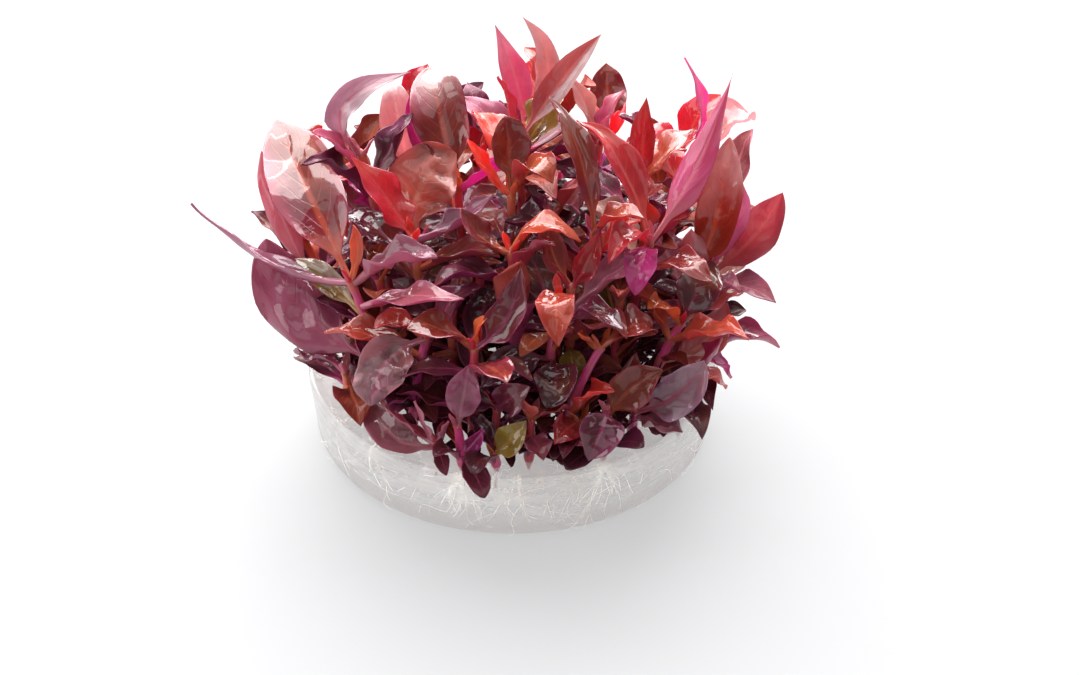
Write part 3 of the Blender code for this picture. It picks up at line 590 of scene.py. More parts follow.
class Wire:
    """An output of a node. wire["X"] is another output of the same node."""

    def __init__(self, node, out=0):
        self.node, self.socket = node, node.outputs[out]

    def __getitem__(self, out):
        return Wire(self.node, out)

    def __add__(self, other):
        return calc("ADD", self, other)

    def __sub__(self, other):
        return calc("SUBTRACT", self, other)

    def __rsub__(self, other):
        return calc("SUBTRACT", other, self)

    def __mul__(self, other):
        return calc("MULTIPLY", self, other)

    def __truediv__(self, other):
        return calc("DIVIDE", self, other)


def feed(node, wires):
    """Gives inputs of a node, by name or number, a wire or a plain value each."""
    for key, value in wires.items():
        if isinstance(value, Wire):
            Bench.tree.links.new(value.socket, node.inputs[key])
        else:
            node.inputs[key].default_value = value


def add(kind, wires=None, out=0, **settings):
    """A new node, as the wire from its output out."""
    made = Bench.tree.nodes.new(kind)
    for name, value in settings.items():
        setattr(made, name, value)
    feed(made, wires or {})
    return Wire(made, out)


def calc(operation, *values, out=0):
    """A Math node, or a Vector Math node where one of the values is a vector."""
    vectors = [isinstance(value, Wire) and value.socket.type in ("VECTOR", "RGBA") for value in values]
    if not any(vectors):
        return add("ShaderNodeMath", dict(enumerate(values)), operation=operation)
    if operation == "MULTIPLY" and not all(vectors):
        return add("ShaderNodeVectorMath", {0: values[0], "Scale": values[1]}, operation="SCALE")
    return add("ShaderNodeVectorMath", dict(enumerate(values)), out, operation=operation)


def split(vector):
    parts = add("ShaderNodeSeparateXYZ", {0: vector})
    return parts["X"], parts["Y"], parts["Z"]


def ramp(value, start, end, low=0.0, high=1.0):
    """A smooth step of value: low until start, high from end on."""
    wires = {"Value": value, "From Min": start, "From Max": end, "To Min": low, "To Max": high}
    return add("ShaderNodeMapRange", wires, interpolation_type="SMOOTHSTEP")


def clouds(place, scale, detail=2.0, roughness=0.5, distortion=0.0, out="Fac"):
    """Soft noise. detail is how many finer layers lie on it."""
    return add("ShaderNodeTexNoise", {"Vector": place, "Scale": scale, "Detail": detail,
                                      "Roughness": roughness, "Distortion": distortion}, out)


print("wires ready")

# %% Groups and geometry trees
SOCKET_KINDS = {int: "Int", float: "Float", tuple: "Vector", type(None): "Material"}
VECTORS = ("base", "middle", "tip", "level")
COLOURS = ("upper_tint", "under_tint", "rib_tint", "stem_tint")
KEPT_LAYERS = {"along", "across", "above", "joint", "glow", "pale", "tip_pale", "gloss", *COLOURS,
               "material_index", "sharp_face"}


def open_group(name, inputs, outputs=("Geometry",), kind="GeometryNodeTree"):
    """Puts a new node group on the bench. The kind of each input follows from its value.
    Gives the group and the wire of its inputs."""
    tree = Bench.tree = bpy.data.node_groups.new(name, kind)
    for in_out, sockets in (("INPUT", inputs), ("OUTPUT", dict.fromkeys(outputs, 0.0))):
        for label, value in sockets.items():
            kind = "Geometry" if label == "Geometry" else SOCKET_KINDS[type(value)]
            socket = tree.interface.new_socket(label, in_out=in_out, socket_type="NodeSocket" + kind)
            if kind not in ("Geometry", "Material"):
                socket.default_value = value
    return tree, add("NodeGroupInput")


def end_group(wires):
    feed(Bench.tree.nodes.new("NodeGroupOutput"), wires)
    print(Bench.tree.name + ":", len(Bench.tree.nodes), "nodes")


def end_tree(geometry, *coats):
    """Realises the instances, puts each material where it belongs and hands the mesh out."""
    made = add("GeometryNodeRealizeInstances", {0: geometry})
    for material, where in coats:
        made = add("GeometryNodeSetMaterial", {"Geometry": made, "Material": material, "Selection": where})
    end_group({0: made})


def named(label, kind="FLOAT"):
    return add("GeometryNodeInputNamedAttribute", {"Name": label}, data_type=kind)


def store(geometry, label, value):
    wires = {"Geometry": geometry, "Name": label, "Value": value}
    return add("GeometryNodeStoreNamedAttribute", wires, data_type="FLOAT", domain="POINT")


def join(*parts):
    made = add("GeometryNodeJoinGeometry")
    for part in parts:
        feed(made.node, {0: part})
    return made


def sweep(line, sides, radius, scale):
    """A tube of that many sides along a line of points."""
    section = add("GeometryNodeCurvePrimitiveCircle", {"Resolution": sides, "Radius": radius})
    return add("GeometryNodeCurveToMesh", {
        "Curve": add("GeometryNodeMeshToCurve", {"Mesh": line}), "Profile Curve": section,
        "Scale": scale, "Fill Caps": True,
    })


def grow_mesh(name, start, tree, values):
    """Runs a tree on a start mesh, keeps the result as a plain mesh object and drops the
    layers that only the tree needed."""
    maker = put(name + "_maker", start)
    modifier = maker.modifiers.new("tree", "NODES")
    modifier.node_group = tree
    for item in tree.interface.items_tree:
        if item.in_out == "INPUT" and item.name in values:
            modifier[item.identifier] = values[item.name]
    mesh = baked(maker)
    mesh.name = name
    spare = [layer.name for layer in mesh.attributes
             if not (layer.is_required or layer.is_internal or layer.name in KEPT_LAYERS)]
    for layer_name in spare:
        mesh.attributes.remove(mesh.attributes[layer_name])
    return put(name, mesh)


print("node helpers ready")

# %% [markdown]
# ## One tree that grows a plantlet
# A leaf blade is a thin body that narrows to a petiole at one end and to a point at the
# other. It could be modelled once and bent for each leaf, but here every leaf has its
# own midrib, so a tree of nodes draws a ball out along it: the ball's height becomes
# the way along the leaf, and its rim becomes the two margins. The same tree sweeps a
# round section along the stem. Loose points of the start mesh carry one leaf each, and
# its edges are the stem.

# %% The plantlet tree: inputs and the ball that becomes a blade
plantlet, source = open_group("Grow plantlet", {
    "Geometry": None, "Sides": 24, "Rows": 30, "Small Sides": 10, "Small Rows": 9,
    "Blade Thickness": 0.00019, "Petiole Thickness": 0.00046, "Petiole Width": 0.00055,
    "Stem Sides": 12, "Leaf Material": None, "Stem Material": None,
})


def blade_ball(sides, rows):
    """A ball whose points know how far along, across and above the blade they will lie."""
    ball = add("GeometryNodeMeshUVSphere", {"Segments": sides, "Rings": rows, "Radius": 1.0})
    x, y, z = split(add("GeometryNodeInputPosition"))
    ring = calc("MAXIMUM", calc("SQRT", x * x + y * y), 0.0001)
    made = store(ball, "along", calc("MULTIPLY_ADD", z, 0.5, 0.5))
    made = store(made, "across", x / ring)
    return store(made, "above", y / ring)


large_ball = blade_ball(source["Sides"], source["Rows"])
small_ball = blade_ball(source["Small Sides"], source["Small Rows"])
print("blade balls:", len(plantlet.nodes), "nodes")

# %% The plantlet tree: one ball for each leaf point
is_leaf, is_small = named("is_leaf"), named("is_small")
leaf_or_stem = add("GeometryNodeSeparateGeometry", {
    "Geometry": source["Geometry"], "Selection": calc("GREATER_THAN", is_leaf, 0.5),
}, domain="POINT")
placed = [
    add("GeometryNodeInstanceOnPoints", {
        "Points": leaf_or_stem["Selection"], "Selection": wanted, "Instance": shape,
    }) for shape, wanted in ((small_ball, is_small), (large_ball, 1.0 - is_small))
]
balls = add("GeometryNodeRealizeInstances", {0: join(*placed)})
print("balls placed:", len(plantlet.nodes), "nodes")

# %% The plantlet tree: the midrib and the frame that travels along it
t, across, above = named("along"), named("across"), named("above")
low, bend_point, high, level = [named(label, "FLOAT_VECTOR") for label in VECTORS]
first = low + (bend_point - low) * t
second = bend_point + (high - bend_point) * t
midrib = first + (second - first) * t
heading = calc("NORMALIZE", second - first)
side = calc("NORMALIZE", level - heading * calc("DOT_PRODUCT", level, heading, out="Value"))
upward = calc("CROSS_PRODUCT", side, heading)
turn = named("twist") * (t - 0.45)
side = side * calc("COSINE", turn) + upward * calc("SINE", turn)
upward = calc("CROSS_PRODUCT", side, heading)
print("midrib and frame:", len(plantlet.nodes), "nodes")

# %% The plantlet tree: the outline of the blade
rest = calc("MAXIMUM", 1.0 - t, 0.0)
outline = calc("POWER", t, BASE_TAPER) * calc("POWER", rest, named("point"))
opening = ramp(t, 0.06, 0.34)
petiole = source["Petiole Width"] * ramp(t, 0.2, 0.42, 1.0, 0.0)
spread = calc("MAXIMUM", outline * named("width") * opening, petiole)
phase = named("phase")
ripple = calc("SINE", phase + (t * 17.0 + across * 1.3))
spread = spread * calc("MULTIPLY_ADD", ripple, 0.035, 1.0)
print("outline:", len(plantlet.nodes), "nodes")

# %% The plantlet tree: the cross-section, cupped, rippled and dented
cup = named("cup")
angle = across * cup
reach = spread * (calc("SINE", angle) / cup)
rise = spread * ((1.0 - calc("COSINE", angle)) / cup)
wave = calc("SINE", phase * 2.3 + (t * 15.0 + across * 2.1))
wave = wave * named("wave") * (across * across * spread)
patch = add("ShaderNodeCombineXYZ", {"X": t * 3.4, "Y": across * 1.25, "Z": phase * 5.0})
dents = (clouds(patch, 1.0, 2.0, 0.6) - 0.5) * (spread * named("dent"))
thick = ramp(t, 0.16, 0.44, source["Petiole Thickness"], source["Blade Thickness"])
rib = ramp(calc("ABSOLUTE", across), 0.0, 0.22, 1.0, 0.0) * ramp(t, 0.3, 0.95, 0.00020, 0.00004)
hook = ramp(t, 0.62, 1.0)
hook = hook * hook * named("hook")
lift = rise + (wave + dents) + above * thick - rib - hook
print("cross-section:", len(plantlet.nodes), "nodes")

# %% The plantlet tree: set the blades in place, sweep the stem and finish
spot = midrib + (side * reach + upward * lift)
blades = add("GeometryNodeSetPosition", {"Geometry": balls, "Position": spot})
blades = add("GeometryNodeFlipFaces", {"Mesh": blades})
swept = sweep(leaf_or_stem["Inverted"], source["Stem Sides"], 1.0, named("girth"))
end_tree(add("GeometryNodeSetShadeSmooth", {"Geometry": join(swept, blades)}),
         (source["Leaf Material"], True), (source["Stem Material"], calc("LESS_THAN", is_leaf, 0.5)))

# %% [markdown]
# ## The look of a leaf
# A leaf is thin and wet. Light glows through it, so a translucent shader is mixed with
# the glossy one, and a clear coat stands for the film of water. The pattern is made
# from the two coordinates that every blade carries: how far along it a point lies, and
# how far across. Midrib and side veins are a group, because the colour and the relief
# both use them.

# %% The vein pattern, a group
veins, given = open_group(
    "Leaf veins", {"Along": 0.0, "Across": 0.0, "Place": (0.0, 0.0, 0.0), "Pairs": 8.0, "Sweep": 0.34},
    ("Midrib", "Side Veins", "Mottle", "Height"), "ShaderNodeTree",
)
along, off_rib = given["Along"], calc("ABSOLUTE", given["Across"])
grain = clouds(given["Place"], 420.0, 3.0, 0.55)
broad = clouds(given["Place"], 110.0)
forward = calc("POWER", off_rib, 1.25) * given["Sweep"]
beat = (along - forward) * given["Pairs"] + broad * 0.9
line = calc("ABSOLUTE", calc("FRACT", beat) - 0.5) * 2.0
side_veins = ramp(line, 0.80, 0.97) * ramp(off_rib, 0.95, 0.35, 0.0, 1.0) * ramp(along, 0.22, 0.4)
rib_width = ramp(along, 0.25, 0.95, 0.17, 0.07)
midrib = ramp(off_rib / rib_width, 0.2, 1.0, 1.0, 0.0) * ramp(along, 0.45, 1.0, 1.0, 0.25)
end_group({
    "Midrib": midrib, "Side Veins": side_veins, "Mottle": grain * 0.45 + broad * 0.55,
    "Height": side_veins * -0.5 + midrib * -0.7 + grain * 0.55,
})

# %% The film of water, a group
film, given = open_group("Wet film", {"Place": (0.0, 0.0, 0.0), "Size": 120.0}, ("Height", "Thin"),
                         "ShaderNodeTree")
place, size = given["Place"], given["Size"]
swell = clouds(place, size, 1.5, 0.4, 0.6)
wrinkle = clouds(place, size * 5.0, 2.0, 0.5, 1.2)
beads = add("ShaderNodeTexVoronoi", {"Vector": place, "Scale": size * 5.0, "Randomness": 1.0}, "Distance")
beads = ramp(beads, 0.06, 0.40, 1.0, 0.0) * ramp(wrinkle, 0.55, 0.64)
end_group({"Height": swell + wrinkle * 0.065 + beads * 0.06, "Thin": ramp(swell, 0.38, 0.66)})

# %% Helpers for materials
def open_material(name):
    """Puts a new material on the bench, and gives it with the wire of its main shader."""
    made = bpy.data.materials.new(name)
    made.use_nodes = True
    Bench.tree = made.node_tree
    return made, Wire(made.node_tree.nodes["Principled BSDF"])


def object_place():
    return add("ShaderNodeTexCoord", out="Object")


def attribute(label, out="Fac"):
    return add("ShaderNodeAttribute", out=out, attribute_name=label, attribute_type="GEOMETRY")


def blend(share, one, other, blend_type="MIX"):
    """A mix of two colours, for which a Mix node has its inputs 6 and 7 and its output 2."""
    return add("ShaderNodeMix", {0: share, 6: one, 7: other}, 2, data_type="RGBA",
               blend_type=blend_type, clamp_factor=True)


def mix(share, one, other):
    return add("ShaderNodeMixShader", {0: share, 1: one, 2: other})


def glow_through(colour, **more):
    return add("ShaderNodeBsdfTranslucent", {"Color": colour, **more})


def bump(height, strength, distance, under=None):
    """Relief from a height. under is the relief that it lies on."""
    wires = {"Height": height, "Strength": strength, "Distance": distance}
    return add("ShaderNodeBump", {**wires, "Normal": under} if under else wires)


def water_film(place, size):
    return add("ShaderNodeGroup", {"Place": place, "Size": size}, node_tree=film)


def show(shader):
    """Ends a material with the shader that its surface shows."""
    feed(Bench.tree.nodes["Material Output"], {"Surface": shader})
    print("material of", len(Bench.tree.nodes), "nodes")

# %% The wet leaf
wet_leaf, shader = open_material("wet leaf")
place = object_place()
along, across, above = [attribute(name) for name in ("along", "across", "above")]
upper, under, rib = [attribute(name, "Color") for name in ("upper_tint", "under_tint", "rib_tint")]
pattern = add("ShaderNodeGroup", {"Along": along, "Across": across, "Place": place}, node_tree=veins)
mottle, side_veins = pattern["Mottle"], pattern["Side Veins"]
off_rib = calc("ABSOLUTE", across)
shade = ramp(mottle, 0.36, 0.64, 0.0, 1.0)
hue_drift = clouds(place, 95.0, 1.0)
drifted = blend(ramp(hue_drift, 0.52, 0.72, 0.0, 0.40), upper, (0.46, 0.110, 0.030, 1))
drifted = blend(ramp(hue_drift, 0.48, 0.30, 0.0, 0.30), drifted, (0.36, 0.030, 0.150, 1))
browner = blend(0.35, upper, (0.16, 0.045, 0.02, 1))
half = blend(ramp(across, -0.3, 0.3, 0.0, 0.30), drifted, browner)
deep = blend(ramp(along, 0.25, 0.75, 0.62, 0.36), half, (0.040, 0.008, 0.012, 1))
upper_full = blend(ramp(off_rib, 0.62, 1.0, 0.0, 0.40), blend(shade, deep, half), under)
upper_full = blend(side_veins * 0.22, upper_full, rib)
under_full = blend(side_veins * 0.42, under, rib)
under_full = blend((1.0 - shade) * 0.42, under_full, upper)
skin = blend(ramp(above, -0.03, 0.03, 1.0, 0.0), upper_full, under_full)
# Painted highlight: a whitish sheen, broken up by the mottle, on one half of some leaves and near the tips
# of others.
for where, label, sheen_tint in (
    (ramp(across, -0.05, 0.35), "pale", (0.76, 0.62, 0.63, 1)),
    (ramp(along, 0.55, 0.84), "tip_pale", (0.78, 0.60, 0.60, 1)),
):
    skin = blend(where * attribute(label) * ramp(mottle, 0.30, 0.55, 0.6, 1.0), skin, sheen_tint)
skin = blend(pattern["Midrib"] * 0.52, skin, rib)
skin = blend(ramp(along, 0.34, 0.08), skin, rib)
water = water_film(place, 120.0)
relief = bump(pattern["Height"], 0.5, 0.00022)
dry = clouds(place, 150.0, 2.5)
feed(shader.node, {
    "Base Color": skin, "Roughness": calc("MULTIPLY_ADD", water["Thin"], 0.20, 0.07), "IOR": 1.30,
    "Coat Weight": ramp(dry, 0.60, 0.68, 1.0, 0.30), "Coat Roughness": 0.03, "Coat IOR": 1.58,
    "Normal": bump(water["Height"], 0.5, 0.0015, relief),
})
dull = add("ShaderNodeBsdfPrincipled", {"Base Color": skin, "Roughness": 0.6, "IOR": 1.2, "Normal": relief})
lit = blend(1.0, upper, (1.6, 1.4, 1.5, 1), "MULTIPLY")
lit = blend(ramp(off_rib, 0.0, 1.0, 0.30, 0.60), lit, under)
lit = blend(ramp(off_rib, 0.02, 0.13, 0.55, 0.0), lit, rib)
show(mix(attribute("glow"), mix(attribute("gloss"), dull, shader), glow_through(lit, Normal=relief)))

# %% [markdown]
# ## The stems
# Stems are smooth, juicy and a little see-through, magenta in the shade and orange
# where a leaf pair joins. Fine lengthwise streaks keep them from looking like plastic.

# %% The stem
juicy_stem, shader = open_material("juicy stem")
place = object_place()
streak = clouds(add("ShaderNodeMapping", {"Vector": place, "Scale": (1.0, 1.0, 0.12)}), 900.0)
streaked = blend(ramp(streak, 0.4, 0.65, 0.0, 0.5), attribute("stem_tint", "Color"), (0.62, 0.16, 0.16, 1))
streaked = blend(attribute("joint") * 0.7, streaked, (0.60, 0.15, 0.05, 1))
wet = bump(water_film(place, 260.0)["Height"], 0.25, 0.0006, bump(streak, 0.35, 0.0002))
feed(shader.node, {
    "Base Color": streaked, "Roughness": 0.28, "Coat Weight": 0.6, "Coat Roughness": 0.08, "Normal": wet,
})
show(mix(0.32, shader, glow_through(streaked)))

# %% [markdown]
# ## Start meshes for the plantlets
# The tree reads one loose point for each leaf and one line of points for the stem. All
# that varies from leaf to leaf is written on those points: its midrib, its width, how
# far it cups, ripples and hooks, and its colours.

# %% Facts of each leaf and stem
NUMBERS = ("is_leaf", "is_small", "width", "point", "cup", "wave", "dent", "twist", "hook", "phase",
           "girth", "joint", "glow", "pale", "tip_pale", "gloss")
BROAD_LEAF = 8.5
YOUNG_LENGTH, YOUNG_WIDTH = 3.6, 1.5
YOUNG_SPREAD, YOUNG_RISE, YOUNG_BOW = 0.42, 0.9, 0.7
STEM_STEPS = 22
STEM_DEPTH = 3.4
JOINT_REACH, JOINT_SWELL = 0.035, 0.22
# Where the stem enters the gel it pales and thins, from a little above it downwards
PALE_ABOVE, PALE_STRETCH, PALE_THINNING = 0.4, 2.4, 0.85
ROOTED_TINT = (0.82, 0.78, 0.70, 1.0)
# What the photograph shows of single leaves. "dent" and "wave" are shares of the usual.
# The sheen entries paint a whitish highlight on one half of a leaf or at its tip: painted sheen.
LEAF_CARE = {
    ("left_arm", 0): {"point": 1.5, "cup": 0.9},
    ("left_arm", 1): {"cup": 0.42, "dent": 0.8, "twist": 0.1, "hook": 0.0},
    ("left_arm", 3): {"dent": 1.6, "wave": 1.6},
    ("left_arm", 5): {"dent": 1.6, "wave": 1.3},
    ("left_arm", 6): {"pale": 0.4},
    ("left_fan", 0): {"dent": 1.6, "wave": 1.6},
    ("left_skirt", 0): {"dent": 1.6},
    ("left_hook", 0): {"pale": 0.45},
    ("inner_left_back", 0): {"dent": 3.0, "wave": 3.0},
    ("front_mauve", 0): {"dent": 2.2, "wave": 2.0, "pale": 0.22},
    ("front_right", 0): {"dent": 1.5, "wave": 1.5},
    ("left_back_broad", 0): {"hook": 0.10, "twist": 0.1, "tip_pale": 0.25},
    ("left_back", 0): {"hook": 0.16, "twist": 0.0, "tip_pale": 0.55},
    ("crown_tall", 0): {"pale": 0.7, "cup": 1.2, "point": 1.15, "hook": 0.04},
    ("crown_back", 0): {"point": 1.4, "hook": 0.08, "tip_pale": 0.35},
    ("crown_back", 1): {"hook": 0.08, "tip_pale": 0.45},
    ("right_tall", 0): {"point": 1.8, "cup": 1.1},
    ("right_tall", 1): {"hook": 0.06},
    ("right_back_pink", 0): {"point": 1.6, "tip_pale": 0.55},
    ("right_back_pink", 1): {"tip_pale": 0.4},
    ("right_back_red", 1): {"hook": 0.06, "tip_pale": 0.3},
    ("back_right", 0): {"hook": 0.08, "tip_pale": 0.6},
    ("right_edge", 2): {"pale": 0.6},
    ("right_brown", 0): {"hook": 0.08, "tip_pale": 0.6},
}


def jitter(colour, rng, amount=0.22):
    """The colour a little lighter or darker, and a little redder or browner."""
    level = 1.08 + rng.uniform(-amount, amount)
    warm = 1 + rng.uniform(-amount, amount) * 0.5
    return (colour[0] * level, colour[1] * level * warm, colour[2] * level / warm, 1.0)


def leaf_facts(line, width, face, look, rng, young=False, small=False, hook=0.16, care=None):
    """The facts of one leaf. care is what LEAF_CARE says of it."""
    care = care or {}
    base, middle, tip = (point * MM for point in line)
    size = (tip - base).length
    point = TIP_TAPER if width > BROAD_LEAF else rng.uniform(0.9, 1.2)
    if small and not young:
        point = rng.uniform(0.55, 0.95)
    rough = 0.55 if small else 1.0
    point = care.get("point", point)
    facts = {
        "is_leaf": 1.0, "is_small": float(small), "base": base, "middle": middle, "tip": tip,
        "level": (tip - base).cross(Vector(face)).normalized(),
        "width": 0.5 * width * MM / outline_peak(point), "point": point,
        "cup": rng.uniform(0.45, 1.25), "wave": 0.0 if young else rng.uniform(0.08, 0.30) * rough,
        "dent": 0.0 if young else rng.uniform(0.35, 1.1) * rough, "twist": rng.uniform(-0.75, 0.75),
        "hook": size * rng.uniform(0.0, hook), "phase": rng.uniform(0, 6.28),
        "upper_tint": jitter(look.upper, rng), "under_tint": jitter(look.under, rng),
        "rib_tint": jitter(look.rib, rng, 0.15),
        "glow": look.glow * rng.uniform(0.8, 1.2), "gloss": 1.0,
    }
    if "hook" in care:
        facts["hook"] = size * care["hook"]
    for name in ("cup", "twist", "pale", "tip_pale"):
        facts[name] = care.get(name, facts.get(name, 0.0))
    for name in ("dent", "wave"):
        facts[name] *= care.get(name, 1.0)
    return facts


def young_leaves(shoot):
    """The pair that is just opening at the crown."""
    crown = stem_point(shoot, 1)
    for opposite in (0, 180):
        heading = math.radians(shoot.turn + PAIR_TURN * (shoot.pairs + 0.5) + opposite)
        out = toward(heading)
        reach = Vector((YOUNG_SPREAD * math.cos(heading), YOUNG_SPREAD * math.sin(heading), YOUNG_RISE))
        reach *= YOUNG_LENGTH
        yield crown, crown + reach * 0.5 + out * YOUNG_BOW, crown + reach


def stem_facts(shoot, leaves, tint):
    """The facts of each point of the stem, from its rooted end to its bud."""
    shares = [i / (STEM_STEPS - 1) for i in range(STEM_STEPS)]
    places = [Vector((*shoot.foot, GEL_HEIGHT - STEM_DEPTH))]
    places += [stem_point(shoot, share) for share in shares]
    places.append(places[-1] + (places[-1] - places[-2]).normalized() * BUD_HEIGHT * 0.8)
    pairs = [leaf.at for leaf in leaves if leaf.given != SMALL]
    for place, share in zip(places, [0.0] + shares + [1.02]):
        joint = max([math.exp(-((share - at) / JOINT_REACH) ** 2) for at in pairs] + [0.0])
        girth = STEM_RADIUS * (1 - (1 - STEM_TIP_SHARE) * share) * (0.9 + JOINT_SWELL * joint)
        if share > 1:
            girth *= 0.35
        sunk = min(1.0, max(0.0, (GEL_HEIGHT + PALE_ABOVE - place.z) / PALE_STRETCH))
        pale = [part + (white - part) * sunk for part, white in zip(tint, ROOTED_TINT)]
        yield {"base": place * MM, "girth": girth * MM * (1 - PALE_THINNING * sunk), "joint": joint,
               "stem_tint": pale}


print("facts ready")

# %% Write the facts on a start mesh
def start_mesh(name, leaves, stem=()):
    """A point for each row of facts. Those of the leaves are loose, those of the stem a line."""
    rows = [*leaves, *stem]
    edges = [(i, i + 1) for i in range(len(leaves), len(rows) - 1)]
    mesh = bpy.data.meshes.new(name)
    mesh.from_pydata([row["base"] for row in rows], edges, [])
    for label in NUMBERS:
        layer = mesh.attributes.new(label, "FLOAT", "POINT")
        layer.data.foreach_set("value", [row.get(label, 0.0) for row in rows])
    for kind, field, labels, usual in (
        ("FLOAT_VECTOR", "vector", VECTORS, (0, 0, 1)), ("FLOAT_COLOR", "color", COLOURS, (0, 0, 0, 1)),
    ):
        for label in labels:
            layer = mesh.attributes.new(label, kind, "POINT")
            layer.data.foreach_set(field, [part for row in rows for part in row.get(label, usual)])
    return mesh

# %% Grow the plantlets
CANOPY = [leaf.line[2] for leaf in ALL_GROWN]
SHADE_ABOVE, SHADE_AROUND = 5, 6.5
PLANTLET_SEED = 7000
INNER_GLOSS, INNER_GLOW, INNER_PAINTED_SHADE = 0.25, 0.6, 0.75


def is_inner(leaf):
    """Whether a leaf lies in the shade of others, where less water stands on it."""
    place = (leaf.line[0] + leaf.line[2]) / 2
    over = sum(tip.z > place.z + SHADE_ABOVE and math.hypot(tip.x - place.x, tip.y - place.y) < SHADE_AROUND
               for tip in CANOPY)
    return leaf.given < 0 and over >= 2


def make_plantlet(shoot, number):
    rng = random.Random(PLANTLET_SEED + number)
    leaves = GROWN[shoot.name]
    facts = [leaf_facts(leaf.line, leaf.width, leaf.face, LOOKS[look_for(shoot, leaf, rng)], rng,
                        small=leaf.given == SMALL, hook=0.06 if leaf.given >= 0 else 0.16,
                        care=LEAF_CARE.get((shoot.name, leaf.given)))
             for leaf in leaves]
    # Leaves in the shade of others get less gloss and less glow, and their colours are darkened by a share
    # as painted shade.
    for row in [row for leaf, row in zip(leaves, facts) if is_inner(leaf)]:
        row["gloss"] = INNER_GLOSS
        row["glow"] = INNER_GLOW * row["glow"]
        for name in ("upper_tint", "under_tint"):
            row[name] = tuple(c * INNER_PAINTED_SHADE for c in row[name][:3]) + (1.0,)
    young = LOOKS[rng.choice(YOUNG_DRAW)]
    facts += [leaf_facts(line, YOUNG_WIDTH, (0, 0, 1), young, rng, young=True, small=True)
              for line in young_leaves(shoot)]
    stem_look = rng.choice(STEM_DRAW)
    tint = jitter(STEM_LOOKS[GIVEN_STEMS.get(shoot.name, stem_look)], rng)
    start = start_mesh(shoot.name, facts, list(stem_facts(shoot, leaves, tint)))
    piece = grow_mesh("plantlet_" + shoot.name, start, plantlet,
                      {"Leaf Material": wet_leaf, "Stem Material": juicy_stem})
    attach(piece, "root")
    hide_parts("shoot_" + shoot.name)
    return piece


plantlets = [make_plantlet(shoot, number) for number, shoot in enumerate(SHOOTS)]
print(len(plantlets), "plantlets,", sum(len(p.data.polygons) for p in plantlets), "faces")

# %% [markdown]
# ## The gel cake
# The cake is clear jelly that keeps the shape of its cup: straight sides that lean out
# a little, a rounded foot, a thin lip. One turned profile makes it. It is one clear
# body: a see-through shader bends the light as water does, and a share of milky shader
# stands for the haze. A light path switch lets light reach the roots inside.

# %% The gel's body
GEL_SPIN = 120
GEL_ROUND = 8


def gel_profile():
    """(radius, height) from the middle of the top to the middle of the foot, in mm."""
    turns = [math.pi / 2 * step / GEL_ROUND for step in range(GEL_ROUND + 1)]
    lip = GEL_HEIGHT - GEL_TOP_ROUND
    return [
        *((GEL_TOP_RADIUS * share, GEL_HEIGHT) for share in (0.0, 0.25, 0.5, 0.7, 0.85, 0.93)),
        *((GEL_TOP_RADIUS - GEL_TOP_ROUND * (1 - math.sin(turn)),
           GEL_HEIGHT - GEL_TOP_ROUND * (1 - math.cos(turn))) for turn in turns),
        *((GEL_TOP_RADIUS + (GEL_FOOT_RADIUS - GEL_TOP_RADIUS) * share,
           lip + (GEL_FOOT_ROUND - lip) * share) for share in (0.25, 0.5, 0.75)),
        *((GEL_FOOT_RADIUS - GEL_FOOT_ROUND * (1 - math.cos(turn)),
           GEL_FOOT_ROUND * (1 - math.sin(turn))) for turn in turns),
        *((GEL_FOOT_RADIUS * share, 0.0) for share in (0.75, 0.5, 0.25, 0.0)),
    ]


def make_gel():
    mesh = bmesh.new()
    rim = [mesh.verts.new((radius, 0, height)) for radius, height in gel_profile()]
    edges = [mesh.edges.new(pair) for pair in zip(rim, rim[1:])]
    bmesh.ops.spin(mesh, geom=rim + edges, cent=(0, 0, 0), axis=(0, 0, 1),
                   angle=2 * math.pi, steps=GEL_SPIN, use_merge=True)
    bmesh.ops.remove_doubles(mesh, verts=mesh.verts, dist=0.001)
    for vert in mesh.verts:
        free = min(1.0, vert.co.z / 3.0)
        swell = noise.noise(vert.co * 0.16) * 0.35 + noise.noise(vert.co * 0.5) * 0.12
        away = Vector((vert.co.x, vert.co.y, 0)).normalized()
        vert.co += away * (swell - 0.2) * free * 0.6
        if vert.co.z > GEL_HEIGHT - 0.01:
            vert.co.z += (swell - 0.3) * 0.5
    bmesh.ops.recalc_face_normals(mesh, faces=mesh.faces)
    bmesh.ops.scale(mesh, vec=(MM, MM, MM), verts=mesh.verts)
    for face in mesh.faces:
        face.smooth = True
    data = bpy.data.meshes.new("gel")
    mesh.to_mesh(data)
    mesh.free()
    return put("gel", data)


gel = make_gel()
print("gel:", len(gel.data.polygons), "faces")

# %% Clear, slightly milky gel
clear_gel, shader = open_material("clear gel")
place = object_place()
streaks = clouds(add("ShaderNodeMapping", {"Vector": place, "Scale": (1.0, 1.0, 6.5)}), 75.0, 5.0, 0.6, 1.6)
relief = bump(clouds(place, 110.0, 4.0) * 0.6 + streaks * 0.5, 0.6, 0.0014)
